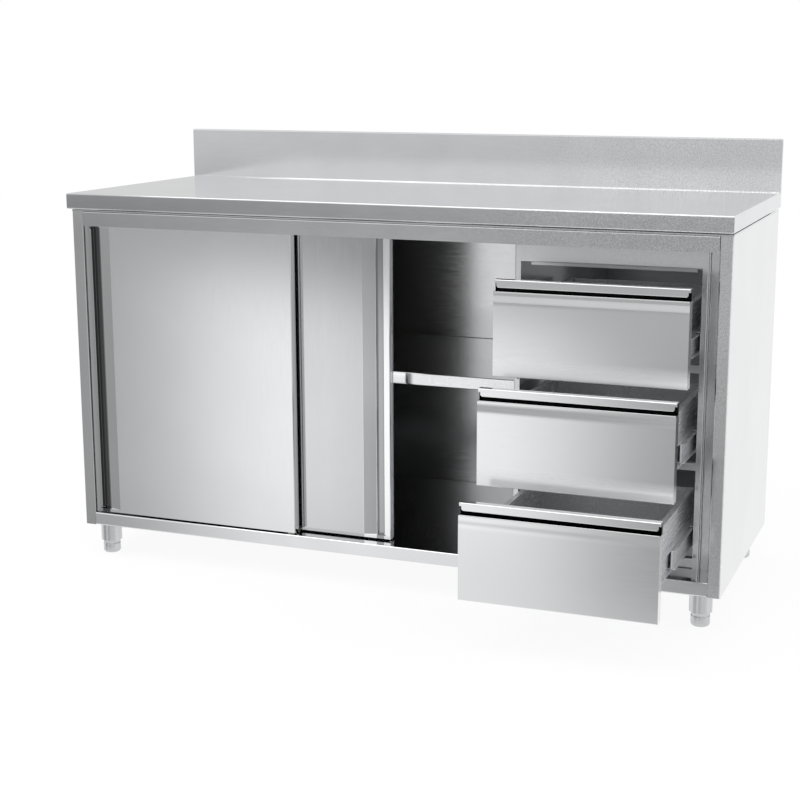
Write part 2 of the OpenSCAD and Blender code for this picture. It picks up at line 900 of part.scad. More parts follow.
// Folded end of a drawer front, cut out where the slit runs into it
module front_end(half) {
    along_x(half - skin)
        linear_extrude(height = skin)
            polygon([[0, 0], [front_t, 0], [front_t, front_h], [lip_back, front_h],
                [lip_back, lip_z + lip_notch], [end_notch, lip_z + lip_notch],
                [end_notch, slit_z], each backwards(slope)]);
}

// Inner panel that closes the back of a drawer front
module drawer_inner_panel() {
    x = front_w / 2 - skin - seam;
    color(satin)
        block([-x, front_t - skin, skin + seam], [x, front_t, slit_z - skin - seam]);
}

// Drawer box: bottom and sides folded from one sheet, with turned-in upper edges
module drawer_box() {
    half = box_w / 2;
    in_x = half - box_hem;
    color(bright) {
        along_y(front_t, box_d)
            folded([[in_x, box_top - box_hem_drop], [in_x, box_top], [half, box_top],
                [half, box_z], [-half, box_z], [-half, box_top], [-in_x, box_top],
                [-in_x, box_top - box_hem_drop]], skin_bend_r, skin, box_d);
        for (y = [front_t, front_t + box_d - skin]) {
            block([-half + skin, y, box_z + skin], [half - skin, y + skin, box_top - skin]);
        }
    }
}

// Slide members fixed to the box's sides
module drawer_slide_members() {
    start = slide_y - closed_y;
    color(zinc)
        for (side = [-1, 1]) {
            slide_channel(side * box_w / 2, side, start, slide_z0);
        }
}

module top_drawer_front() {
    drawer(0) drawer_front();
}

module top_drawer_inner_panel() {
    drawer(0) drawer_inner_panel();
}

module top_drawer_box() {
    drawer(0) drawer_box();
}

module top_drawer_slide_members() {
    drawer(0) drawer_slide_members();
}

module middle_drawer_front() {
    drawer(1) drawer_front();
}

module middle_drawer_inner_panel() {
    drawer(1) drawer_inner_panel();
}

module middle_drawer_box() {
    drawer(1) drawer_box();
}

module middle_drawer_slide_members() {
    drawer(1) drawer_slide_members();
}

module bottom_drawer_front() {
    drawer(2) drawer_front();
}

module bottom_drawer_inner_panel() {
    drawer(2) drawer_inner_panel();
}

module bottom_drawer_box() {
    drawer(2) drawer_box();
}

module bottom_drawer_slide_members() {
    drawer(2) drawer_slide_members();
}

// Moves a piece drawn from the left door's lower left corner to that door
module left_door() {
    translate([left_door_x, door_y[0], door_z]) children();
}

// The right door is the left one's mirror image
module right_door() {
    translate([right_door_x + door_w, door_y[1], door_z]) mirror([1, 0, 0]) children();
}

// Outer pan of a door: the face slopes into a finger channel beside the grip strip
module door_shell() {
    x1 = grip_w + channel_w;
    x2 = x1 + slope_w;
    color(satin) {
        difference() {
            translate([0, 0, channel_end])
                folded([[door_w, shell_return], [door_w, 0], [x2, 0], [x1, slope_d],
                    [x1, channel_d], [grip_w, channel_d], [grip_w, 0], [0, 0],
                    [0, shell_return]], skin_bend_r, skin, door_h - 2 * channel_end);
            grip_cut(channel_end, 1);
            grip_cut(door_h - channel_end, -1);
        }
        door_band(0, 0);
        door_band(door_h - channel_end, channel_end - skin);
        channel_cap(channel_end - skin);
        channel_cap(door_h - channel_end);
    }
}

// Plain band at the end of the finger channel, with the pan's narrow return
module door_band(z, return_z) {
    translate([0, 0, z])
        folded([[door_w, shell_return], [door_w, 0], [0, 0], [0, shell_return]],
            skin_bend_r, skin, channel_end);
    block([skin, skin / 2, z + return_z], [door_w - skin, slot_return, z + return_z + skin]);
}

// Plate that closes the end of the finger channel
module channel_cap(z) {
    x1 = grip_w + channel_w;
    back = channel_d + skin;
    translate([0, 0, z])
        linear_extrude(height = skin)
            polygon([[grip_w - skin, skin / 2], [x1 + slope_w, skin / 2], [x1 + skin, slope_d + skin],
                [x1 + skin, back], [grip_w - skin, back]]);
}

// Corner cut off the grip strip beside the channel, going up or down from z
module grip_cut(z, way) {
    along_y(-1, channel_d)
        linear_extrude(height = channel_d)
            polygon([[grip_w - grip_chamfer, z - way], [grip_w + 1, z - way],
                [grip_w + 1, z + way * grip_chamfer], [grip_w, z + way * grip_chamfer],
                [grip_w - grip_chamfer, z]]);
}

// Inner pan of a door, nested in the outer pan's side returns
module door_liner() {
    x0 = skin + seam;
    x1 = door_w - x0;
    y0 = shell_return - liner_nest;
    color(dull) {
        block([x0, door_t - skin, 0], [x1, door_t, door_h]);
        for (x = [x0, x1 - skin]) {
            block([x, y0, skin + seam], [x + skin, door_t, door_h - skin - seam]);
        }
        for (z = [0, door_h - skin]) {
            block([x0, door_t - slot_return, z], [x1, door_t, z + skin]);
        }
    }
}

// Hangers riveted to the inner pan, each with its roller pin
module door_hangers() {
    y0 = door_mid - hanger_t / 2;
    y1 = door_mid + hanger_t / 2;
    pin_z = roller_z - door_z;
    z0 = door_h - hanger_down;
    color(zinc)
        for (x = [hanger_edge, door_w - hanger_edge]) {
            block([x - hanger_w / 2, y0, z0], [x + hanger_w / 2, y1, pin_z]);
            block([x - hanger_w / 2, y0, z0], [x + hanger_w / 2, door_t - skin, z0 + hanger_t]);
            translate([x, y1, pin_z]) rotate([90, 0, 0])
                cylinder(d = hanger_w / 3, h = hanger_t);
            translate([x, door_mid + pin_len / 2 + pin_head_t, pin_z]) rotate([90, 0, 0])
                cylinder(d = pin_d, h = pin_len + 2 * pin_head_t);
            for (y = [door_mid + pin_len / 2 + pin_head_t, door_mid - pin_len / 2]) {
                translate([x, y, pin_z]) rotate([90, 0, 0])
                    cylinder(d = pin_head_d, h = pin_head_t);
            }
        }
}

// Twin rollers on one pin
module door_roller(x) {
    pin_z = roller_z - door_z;
    color(nylon)
        for (y = [door_mid + roller_in + roller_w, door_mid - roller_in]) {
            translate([x, y, pin_z]) rotate([90, 0, 0])
                difference() {
                    cylinder(d = roller_d, h = roller_w);
                    translate([0, 0, -1]) cylinder(r = pin_d / 2 + pin_play, h = roller_w + 2);
                }
        }
}

module left_door_shell() {
    left_door() door_shell();
}

module left_door_liner() {
    left_door() door_liner();
}

module left_door_hangers() {
    left_door() door_hangers();
}

module left_door_roller_left() {
    left_door() door_roller(hanger_edge);
}

module left_door_roller_right() {
    left_door() door_roller(door_w - hanger_edge);
}

module right_door_shell() {
    right_door() door_shell();
}

module right_door_liner() {
    right_door() door_liner();
}

module right_door_hangers() {
    right_door() door_hangers();
}

module right_door_roller_left() {
    right_door() door_roller(door_w - hanger_edge);
}

module right_door_roller_right() {
    right_door() door_roller(hanger_edge);
}

// Puts a piece at each of the four legs
module at_legs() {
    for (x = [-leg_x, leg_x], y = leg_y) {
        translate([x, y, 0]) children();
    }
}

// Puts a piece at each stud of a leg plate
module at_studs() {
    for (x = [-stud_x, stud_x], y = [-stud_y, stud_y]) {
        translate([x, y, 0]) children();
    }
}

module leg_plates() {
    half = [leg_plate_w / 2, leg_plate_d / 2, 0];
    color(zinc)
        at_legs()
            difference() {
                block([0, 0, plate_z] - half, [0, 0, under_floor] + half);
                at_studs()
                    translate([0, 0, plate_z - 1]) cylinder(d = stud_d + seam, h = leg_plate_t + 2);
            }
}

// Studs welded under the floor panel, each with its nut
module leg_plate_nuts() {
    color(zinc)
        at_legs()
            at_studs() {
                translate([0, 0, plate_z - nut_h - sheet])
                    cylinder(d = stud_d, h = under_floor - plate_z + nut_h + sheet);
                translate([0, 0, plate_z - nut_h]) cylinder(d = nut_d, h = nut_h, $fn = 6);
            }
}

module leg_tubes() {
    color(satin)
        at_legs()
            translate([0, 0, tube_foot])
                difference() {
                    cylinder(d = tube_d, h = plate_z - tube_foot);
                    translate([0, 0, -1])
                        cylinder(d = tube_d - 2 * tube_wall, h = plate_z - tube_foot + 2);
                }
}

// Threaded insert fixed in each tube
module leg_inserts() {
    color(black)
        at_legs()
            translate([0, 0, insert_z])
                difference() {
                    cylinder(d = tube_d - 2 * tube_wall, h = insert_h);
                    translate([0, 0, -1])
                        cylinder(r = screw_d / 2 + screw_play, h = insert_h + 2);
                }
}

// Foot with its screw
module foot(x, y) {
    color(satin)
        translate([x, y, 0]) {
            cylinder(d1 = foot_d - 2 * foot_chamfer, d2 = foot_d, h = foot_chamfer);
            translate([0, 0, foot_chamfer]) cylinder(d = foot_d, h = foot_h - foot_chamfer);
            translate([0, 0, foot_h]) cylinder(d = screw_d, h = stem_top - foot_h);
        }
}

module foot_front_left() {
    foot(-leg_x, leg_y[0]);
}

module foot_front_right() {
    foot(leg_x, leg_y[0]);
}

module foot_rear_left() {
    foot(-leg_x, leg_y[1]);
}

module foot_rear_right() {
    foot(leg_x, leg_y[1]);
}

place() worktop();
place() worktop_underlay();
place() worktop_hat_rails();
place() side_panel_left();
place() side_panel_right();
place() back_panel();
place() floor_panel();
place() floor_stiffeners();
place() top_front_rail();
place() top_rear_rail();
place() door_track();
place() track_stops();
place() door_floor_guide();
place() shelf();
place() shelf_angles();
place() block_face_frame();
place() block_side_left();
place() block_side_right();
place() block_top_panel();
place() block_filler();
place() drawer_buffers();
place() cabinet_slide_members();
place() leg_plates();
place() leg_plate_nuts();
place() leg_tubes();
place() leg_inserts();
place() foot_front_left();
place() foot_front_right();
place() foot_rear_left();
place() foot_rear_right();
place() left_door_shell();
place() left_door_liner();
place() left_door_hangers();
place() left_door_roller_left();
place() left_door_roller_right();
place() right_door_shell();
place() right_door_liner();
place() right_door_hangers();
place() right_door_roller_left();
place() right_door_roller_right();
place() top_drawer_front();
place() top_drawer_inner_panel();
place() top_drawer_box();
place() top_drawer_slide_members();
place() middle_drawer_front();
place() middle_drawer_inner_panel();
place() middle_drawer_box();
place() middle_drawer_slide_members();
place() bottom_drawer_front();
place() bottom_drawer_inner_panel();
place() bottom_drawer_box();
place() bottom_drawer_slide_members();
place() top_slide_middle_members();
place() middle_slide_middle_members();
place() bottom_slide_middle_members();
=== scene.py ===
"""Stainless steel base cabinet with two sliding doors and a block of three drawers: its finishes.

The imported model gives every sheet, tube and slide its shape and place. This script gives each of
them its surface, adds the small hardware that holds them together, and sets up the camera and the
studio. Lengths are in metres, X to the right, Y to the wall and Z up.
"""

import math

import bpy
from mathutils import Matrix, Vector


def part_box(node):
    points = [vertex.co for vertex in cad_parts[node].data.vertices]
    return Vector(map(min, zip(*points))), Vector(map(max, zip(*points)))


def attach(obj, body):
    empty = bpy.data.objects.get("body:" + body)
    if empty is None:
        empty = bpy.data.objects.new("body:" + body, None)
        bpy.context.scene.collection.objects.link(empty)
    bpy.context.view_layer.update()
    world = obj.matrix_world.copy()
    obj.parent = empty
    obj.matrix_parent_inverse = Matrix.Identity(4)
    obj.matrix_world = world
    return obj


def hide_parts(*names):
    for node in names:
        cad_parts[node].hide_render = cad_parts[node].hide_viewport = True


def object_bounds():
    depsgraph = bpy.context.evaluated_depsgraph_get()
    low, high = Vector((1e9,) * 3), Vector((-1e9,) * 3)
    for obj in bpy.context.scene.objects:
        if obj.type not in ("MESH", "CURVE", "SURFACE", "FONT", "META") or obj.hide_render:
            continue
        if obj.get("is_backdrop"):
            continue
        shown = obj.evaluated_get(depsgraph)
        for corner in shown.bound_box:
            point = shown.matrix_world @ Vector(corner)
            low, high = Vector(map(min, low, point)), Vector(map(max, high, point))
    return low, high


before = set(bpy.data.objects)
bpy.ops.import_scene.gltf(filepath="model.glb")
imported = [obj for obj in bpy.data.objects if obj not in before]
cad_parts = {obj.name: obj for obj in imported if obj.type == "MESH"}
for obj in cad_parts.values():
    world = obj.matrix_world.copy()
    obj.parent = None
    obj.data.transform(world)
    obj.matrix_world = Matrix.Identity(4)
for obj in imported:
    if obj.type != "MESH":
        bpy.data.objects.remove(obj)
cad_low, cad_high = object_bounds()
scene = bpy.context.scene

# Camera: to the right of the cabinet and a little above its worktop, fitted to the edges of the
# cabinet in the photograph. The lens axis meets the picture off its middle, hence the shift.
PICTURE = 800
FOCAL_LENGTH = 1564.0
AXIS_IN_PICTURE = (425.6, 389.35)
TURN_TO_LEFT = math.radians(20.90)
LOOK_DOWN = math.radians(11.85)
camera = bpy.data.objects.new("camera", bpy.data.cameras.new("camera"))
scene.collection.objects.link(camera)
scene.camera = camera
camera.location = (1.2668, -3.1834, 1.1408)
camera.rotation_euler = (math.pi / 2 - LOOK_DOWN, 0, TURN_TO_LEFT)
camera.data.lens = FOCAL_LENGTH / PICTURE * camera.data.sensor_width
camera.data.shift_x = 0.5 - AXIS_IN_PICTURE[0] / PICTURE
camera.data.shift_y = AXIS_IN_PICTURE[1] / PICTURE - 0.5
scene.view_settings.view_transform = "Standard"


def linear(colour):
    """An sRGB hex colour as the linear RGBA that a shader takes."""
    shares = [int(colour[i:i + 2], 16) / 255 for i in (1, 3, 5)]
    return [c / 12.92 if c <= 0.04045 else ((c + 0.055) / 1.055) ** 2.4 for c in shares] + [1]


def add(tree, kind, sockets=(), joins=(), **fields):
    """Adds a node. Fields are its settings, sockets its input values, joins what feeds an input."""
    made = tree.nodes.new(kind)
    for field, value in fields.items():
        setattr(made, field, value)
    for socket, value in dict(sockets).items():
        made.inputs[socket].default_value = value
    for socket, source in dict(joins).items():
        tree.links.new(source, made.inputs[socket])
    return made


# Studio: a white room with unevenly lit walls, which the bare steel mirrors. The real room isn't
# known, so these walls were set by what the steel shows: a tall soft window low in the front wall,
# a slanted sill over it, and a wall with a dark rail above, lighter at its right end. Angles are
# in degrees, to the left of the front and above the horizon.
WINDOW_RIGHT = (10.8, 19.0)
WINDOW_LEFT = (25.8, 33.2)
WINDOW_LIGHT = 0.79
WINDOW_KEPT = 0.10
WALL_SHADED = (-14, 2)
WALL_LIGHTS = (0.80, 0.41)
DARK_CORNER = (36, 46)
DARK_CORNER_SHARE = 0.80
SIDE_WALLS = (55, 84)
SIDE_LIGHT = 1.12
BACK_WALL = (84, 130)
DOORWAY = (125, 140, 160, 176)
DOORWAY_SHARE = 0.74
SKIRTING = (-18.5, -14.5)
SKIRTING_SHARE = 0.81
FLOOR_EDGE = (-24, -18.2)
SILL_AT = -12.9
SILL_SLOPE = 0.2
SILL_SOFT = (-1.6, 1.2)
UPPER_SHADED = (-25, -5)
UPPER_SHARE = 1.5
UPPER_OPENS = (4, 14)
UPPER_RANGE = (-14, 16)
UPPER_LIGHTS = ((-14, 0.48), (-6.6, 0.47), (-5.6, 0.36), (-4.6, 0.65), (-2.6, 0.82), (-0.6, 0.74),
                (5, 1.06), (16, 1.10))
CEILING = (20, 50)
studio = bpy.data.worlds.new("studio")
studio.use_nodes = True
scene.world = studio
room = studio.node_tree
room.nodes.clear()
seen = add(room, "ShaderNodeTexCoord")
turned = add(room, "ShaderNodeVectorMath", {1: (-1, -1, 1)}, {0: seen.outputs["Generated"]},
             operation="MULTIPLY")
parts = add(room, "ShaderNodeSeparateXYZ", joins={0: turned.outputs[0]})
turn = add(room, "ShaderNodeMath", joins={0: parts.outputs["X"], 1: parts.outputs["Y"]},
           operation="ARCTAN2")
to_left = add(room, "ShaderNodeMath", joins={0: turn.outputs[0]}, operation="DEGREES")
rise = add(room, "ShaderNodeMath", joins={0: parts.outputs["Z"]}, operation="ARCSINE")
height = add(room, "ShaderNodeMath", joins={0: rise.outputs[0]}, operation="DEGREES")
sideways = add(room, "ShaderNodeMath", joins={0: to_left.outputs[0]}, operation="ABSOLUTE")
# The low part of the front wall
wall = add(room, "ShaderNodeMapRange", {1: WALL_SHADED[0], 2: WALL_SHADED[1], 3: WALL_LIGHTS[0],
                                        4: WALL_LIGHTS[1]},
           {0: to_left.outputs[0]}, interpolation_type="SMOOTHSTEP")
window_right = add(room, "ShaderNodeMapRange", {1: WINDOW_RIGHT[0], 2: WINDOW_RIGHT[1]},
                   {0: to_left.outputs[0]}, interpolation_type="SMOOTHSTEP")
window_left = add(room, "ShaderNodeMapRange", {1: WINDOW_LEFT[0], 2: WINDOW_LEFT[1],
                                               3: WINDOW_LIGHT, 4: WINDOW_LIGHT * WINDOW_KEPT},
                  {0: to_left.outputs[0]}, interpolation_type="SMOOTHSTEP")
low_wall = add(room, "ShaderNodeMath", joins={0: window_right.outputs[0],
                                              1: window_left.outputs[0], 2: wall.outputs[0]},
               operation="MULTIPLY_ADD")
skirting = add(room, "ShaderNodeMapRange", {1: SKIRTING[0], 2: SKIRTING[1], 3: SKIRTING_SHARE},
               {0: height.outputs[0]})
low_lit = add(room, "ShaderNodeMath", joins={0: low_wall.outputs[0], 1: skirting.outputs[0]},
              operation="MULTIPLY")
corner = add(room, "ShaderNodeMapRange", {1: DARK_CORNER[0], 2: DARK_CORNER[1], 3: 1,
                                          4: DARK_CORNER_SHARE},
             {0: to_left.outputs[0]}, interpolation_type="SMOOTHSTEP")
low_faded = add(room, "ShaderNodeMath", joins={0: low_lit.outputs[0], 1: corner.outputs[0]},
                operation="MULTIPLY")
# The upper part, and the slanted edge between the two
scale_up = add(room, "ShaderNodeMapRange", {1: UPPER_RANGE[0], 2: UPPER_RANGE[1]},
               {0: height.outputs[0]})
upper = add(room, "ShaderNodeFloatCurve", joins={"Value": scale_up.outputs[0]})
steps = upper.mapping.curves[0].points
reach = UPPER_RANGE[1] - UPPER_RANGE[0]
# A curve's values stay within 1, so the lights are drawn at half their strength.
for i, (at, strength) in enumerate(UPPER_LIGHTS):
    spot = ((at - UPPER_RANGE[0]) / reach, strength / 2)
    if i in (0, len(UPPER_LIGHTS) - 1):
        steps[0 if i == 0 else len(steps) - 1].location = spot
    else:
        steps.new(*spot)
upper.mapping.update()
upper_shade = add(room, "ShaderNodeMapRange", {1: UPPER_SHADED[0], 2: UPPER_SHADED[1],
                                               3: UPPER_SHARE},
                  {0: to_left.outputs[0]}, interpolation_type="SMOOTHSTEP")
upper_open = add(room, "ShaderNodeMapRange", {1: UPPER_OPENS[0], 2: UPPER_OPENS[1]},
                 {0: height.outputs[0]}, interpolation_type="SMOOTHSTEP")
upper_share = add(room, "ShaderNodeMix", {3: 1.0},
                  {0: upper_open.outputs[0], 2: upper_shade.outputs[0]})
upper_half = add(room, "ShaderNodeMath", joins={0: upper.outputs[0], 1: upper_share.outputs[0]},
                 operation="MULTIPLY")
upper_wall = add(room, "ShaderNodeMath", {1: 2.0}, {0: upper_half.outputs[0]},
                 operation="MULTIPLY")
sill = add(room, "ShaderNodeMath", {1: -SILL_SLOPE}, {0: to_left.outputs[0],
                                                      2: height.outputs[0]},
           operation="MULTIPLY_ADD")
under_sill = add(room, "ShaderNodeMapRange", {1: SILL_AT + SILL_SOFT[0], 2: SILL_AT + SILL_SOFT[1],
                                              3: 1, 4: 0},
                 {0: sill.outputs[0]}, interpolation_type="SMOOTHSTEP")
front_wall = add(room, "ShaderNodeMix", joins={0: under_sill.outputs[0], 2: upper_wall.outputs[0],
                                               3: low_faded.outputs[0]})
# The other walls, the floor and the ceiling
to_side = add(room, "ShaderNodeMapRange", {1: SIDE_WALLS[0], 2: SIDE_WALLS[1]},
              {0: sideways.outputs[0]}, interpolation_type="SMOOTHSTEP")
to_back = add(room, "ShaderNodeMapRange", {1: BACK_WALL[0], 2: BACK_WALL[1], 3: SIDE_LIGHT, 4: 1},
              {0: sideways.outputs[0]}, interpolation_type="SMOOTHSTEP")
doorway_right = add(room, "ShaderNodeMapRange", {1: DOORWAY[0], 2: DOORWAY[1], 3: 0,
                                                 4: 1 - DOORWAY_SHARE},
                    {0: to_left.outputs[0]}, interpolation_type="SMOOTHSTEP")
doorway_left = add(room, "ShaderNodeMapRange", {1: DOORWAY[2], 2: DOORWAY[3], 3: -1, 4: 0},
                   {0: to_left.outputs[0]}, interpolation_type="SMOOTHSTEP")
rear_wall = add(room, "ShaderNodeMath", joins={0: doorway_right.outputs[0],
                                               1: doorway_left.outputs[0],
                                               2: to_back.outputs[0]}, operation="MULTIPLY_ADD")
walls = add(room, "ShaderNodeMix", joins={0: to_side.outputs[0], 2: front_wall.outputs[0],
                                          3: rear_wall.outputs[0]})
to_floor = add(room, "ShaderNodeMapRange", {1: FLOOR_EDGE[0], 2: FLOOR_EDGE[1], 3: 1, 4: 0},
               {0: height.outputs[0]}, interpolation_type="SMOOTHSTEP")
with_floor = add(room, "ShaderNodeMix", {3: 1.0}, {0: to_floor.outputs[0], 2: walls.outputs[0]})
to_ceiling = add(room, "ShaderNodeMapRange", {1: CEILING[0], 2: CEILING[1]},
                 {0: height.outputs[0]}, interpolation_type="SMOOTHSTEP")
light = add(room, "ShaderNodeMix", {3: 1.0}, {0: to_ceiling.outputs[0],
                                              2: with_floor.outputs[0]})
# The camera sees the room as plain white.
ray = add(room, "ShaderNodeLightPath")
shown = add(room, "ShaderNodeMix", {3: 1.0},
            {0: ray.outputs["Is Camera Ray"], 2: light.outputs[0]})
glow = add(room, "ShaderNodeBackground", {0: (1, 1, 1, 1)}, {1: shown.outputs[0]})
add(room, "ShaderNodeOutputWorld", joins={0: glow.outputs[0]})


# Floor: smooth white paint. The camera sees it nearly white, with a faint shadow of the cabinet,
# and the steel mirrors the lower part of the room in its place.
def empty_material(name):
    """A material and its tree, which holds no nodes yet."""
    made = bpy.data.materials.new(name)
    made.use_nodes = True
    made.node_tree.nodes.clear()
    return made, made.node_tree


FLOOR_REACH = 8.0
FLOOR_SHOWN_WHITE = 0.9
floor_mesh = bpy.data.meshes.new("floor")
floor_mesh.from_pydata([(x * FLOOR_REACH, y * FLOOR_REACH, 0)
                        for x, y in ((-1, -1), (1, -1), (1, 1), (-1, 1))], [], [(0, 1, 2, 3)])
floor = bpy.data.objects.new("floor", floor_mesh)
scene.collection.objects.link(floor)
floor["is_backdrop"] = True
floor.visible_glossy = False
floor.visible_shadow = False
paint, tree = empty_material("white floor paint")
ray = add(tree, "ShaderNodeLightPath")
matt = add(tree, "ShaderNodeBsdfDiffuse", {"Color": linear("#fafafa")})
white = add(tree, "ShaderNodeEmission", {"Strength": 1.0})
share = add(tree, "ShaderNodeMath", {1: FLOOR_SHOWN_WHITE}, {0: ray.outputs["Is Camera Ray"]},
            operation="MULTIPLY")
floor_look = add(tree, "ShaderNodeMixShader", joins={0: share.outputs[0], 1: matt.outputs[0],
                                                     2: white.outputs[0]})
add(tree, "ShaderNodeOutputMaterial", joins={0: floor_look.outputs[0]})
floor_mesh.materials.append(paint)

# Lamps: a wide soft one overhead, and three faint ones inside the cabinet, which lift its inside
# to the photographed tone: two in the open bay and one behind the drawers. Each row holds a
# lamp's name, width and depth, power, place and aim.
soft_lamps = (("soft lamp overhead", (3.0, 2.0), 30.0, (-0.6, -1.2, 3.4),
               (math.radians(18), math.radians(-8), 0)),
              ("soft lamp high in the bay", (0.17, 0.315), 0.18, (-0.073, -0.080, 0.5985),
               (math.radians(90), 0, 0)),
              ("soft lamp low in the bay", (0.17, 0.31), 0.12, (-0.073, -0.080, 0.280),
               (math.radians(90), 0, 0)),
              ("soft lamp in the drawer block", (0.30, 0.60), 0.07, (0.482, 0.400, 0.440),
               (math.radians(-90), 0, 0)))
for name, (width, depth), power, place, aim in soft_lamps:
    lamp = bpy.data.objects.new(name, bpy.data.lights.new(name, "AREA"))
    scene.collection.objects.link(lamp)
    lamp.data.shape = "RECTANGLE"
    lamp.data.size = width
    lamp.data.size_y = depth
    lamp.data.energy = power
    lamp.location = place
    lamp.rotation_euler = aim
    lamp.visible_camera = False


# Carcass: folded panels of 1.2 mm AISI 304 sheet, spot welded. The sheet is bought satin brushed,
# and the belt's fine scratches run along each panel, so the steel mirrors the room as a soft blur.
# The values are those that a fine noise and a soft one mostly keep within.
NOISE_RANGE = (0.3, 0.7)
CLOUD_RANGE = (0.35, 0.65)


def brushed_steel(name, tone, worn_tone, along, roughness, flecks=0.04, haze=0.0):
    """Satin brushed stainless steel. Along is the axis the scratches run on: 0, 1 or 2.

    Flecks is the contrast of the scratches. Haze is the share that scatters light as a matt
    surface does, which keeps a shaded inside from mirroring black."""
    scratch_length = 0.045
    # The real scratches lie about 0.1 mm apart, too fine to show, so they are drawn at 1.2 mm.
    scratch_pitch = 0.0012
    cloud_size = 0.16
    pit_size = 0.0026
    pit_share = 0.4
    cloud_share = 0.6
    fleck_gain = 4
    gloss_spread = 0.15
    relief_depth = 0.00001
    steel, tree = empty_material(name)
    place = add(tree, "ShaderNodeTexCoord", name="place")
    scale = [1 / scratch_pitch] * 3
    scale[along] = 1 / scratch_length
    stretch = add(tree, "ShaderNodeMapping", {"Scale": scale}, {0: place.outputs["Object"]})
    scratches = add(tree, "ShaderNodeTexNoise", {"Scale": 1, "Detail": 2, "Roughness": 0.6},
                    {"Vector": stretch.outputs[0]})
    clouds = add(tree, "ShaderNodeTexNoise", {"Scale": 1 / cloud_size, "Detail": 3},
                 {"Vector": place.outputs["Object"]})
    pits = add(tree, "ShaderNodeTexNoise", {"Scale": 1 / pit_size, "Detail": 1},
               {"Vector": place.outputs["Object"]})
    grain = add(tree, "ShaderNodeMix", {0: pit_share},
                {2: scratches.outputs[0], 3: pits.outputs[0]})
    patch = add(tree, "ShaderNodeMapRange", {1: CLOUD_RANGE[0], 2: CLOUD_RANGE[1]},
                {0: clouds.outputs[0]})
    fleck = add(tree, "ShaderNodeMapRange",
                {1: NOISE_RANGE[0], 2: NOISE_RANGE[1], 3: -flecks * fleck_gain,
                 4: flecks * fleck_gain}, {0: grain.outputs[0]})
    blend = add(tree, "ShaderNodeMath", {1: cloud_share},
                {0: patch.outputs[0], 2: fleck.outputs[0]}, operation="MULTIPLY_ADD")
    colour = add(tree, "ShaderNodeMix", {6: linear(tone), 7: linear(worn_tone)},
                 {0: blend.outputs[0]}, data_type="RGBA", clamp_factor=False)
    gloss = add(tree, "ShaderNodeMapRange",
                {1: NOISE_RANGE[0], 2: NOISE_RANGE[1], 3: roughness * (1 - gloss_spread),
                 4: roughness * (1 + gloss_spread)}, {0: scratches.outputs[0]})
    relief = add(tree, "ShaderNodeBump", {"Strength": 0.2, "Distance": relief_depth},
                 {"Height": grain.outputs[0]})
    shader = add(tree, "ShaderNodeBsdfPrincipled", {"Metallic": 1.0 - haze},
                 {"Base Color": colour.outputs[2], "Roughness": gloss.outputs[0],
                  "Normal": relief.outputs[0]}, name="surface")
    add(tree, "ShaderNodeOutputMaterial", joins={0: shader.outputs[0]})
    return steel


def dimmed(steel, share):
    """Multiplies the colour of a steel by share, which is a node's output."""
    tree = steel.node_tree
    base = tree.nodes["surface"].inputs["Base Color"]
    scaled = add(tree, "ShaderNodeVectorMath", joins={0: base.links[0].from_socket,
                                                      "Scale": share}, operation="SCALE")
    tree.links.new(scaled.outputs[0], base)


def paint_shade_along_x(steel, low_x, high_x, share, in_front_of=10.0):
    """Paints shade on a steel, darker from high_x down to low_x, as photographed, in front of a
    place along Y.
    """
    tree = steel.node_tree
    axes = add(tree, "ShaderNodeSeparateXYZ", joins={0: tree.nodes["place"].outputs["Object"]})
    along = add(tree, "ShaderNodeMapRange", {1: low_x, 2: high_x, 3: share - 1, 4: 0},
                {0: axes.outputs["X"]})
    front = add(tree, "ShaderNodeMath", {1: in_front_of}, {0: axes.outputs["Y"]},
                operation="LESS_THAN")
    kept = add(tree, "ShaderNodeMath", {2: 1.0}, {0: along.outputs[0], 1: front.outputs[0]},
               operation="MULTIPLY_ADD")
    dimmed(steel, kept.outputs[0])


def gritty(steel, strength, from_x=-10.0, to_x=-9.0):
    """Adds a sandy grain, as a coarse belt leaves, which fades in from from_x to to_x."""
    # The real grit leaves marks of about 0.2 mm, too fine to show, so they are drawn at 1.7 mm.
    grit_size = 0.0017
    tree = steel.node_tree
    place = tree.nodes["place"]
    grains = add(tree, "ShaderNodeTexNoise", {"Scale": 1 / grit_size, "Detail": 0},
                 {"Vector": place.outputs["Object"]})
    strewn = add(tree, "ShaderNodeMapRange", {1: NOISE_RANGE[0], 2: NOISE_RANGE[1],
                                              3: -strength, 4: strength},
                 {0: grains.outputs[0]})
    axes = add(tree, "ShaderNodeSeparateXYZ", joins={0: place.outputs["Object"]})
    fades_in = add(tree, "ShaderNodeMapRange", {1: from_x, 2: to_x}, {0: axes.outputs["X"]})
    share = add(tree, "ShaderNodeMath", {2: 1.0}, {0: strewn.outputs[0], 1: fades_in.outputs[0]},
                operation="MULTIPLY_ADD")
    dimmed(steel, share.outputs[0])


def finish_of(material, *names):
    """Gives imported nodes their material."""
    for name in names:
        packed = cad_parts[name].data
        packed.materials.clear()
        packed.materials.append(material)
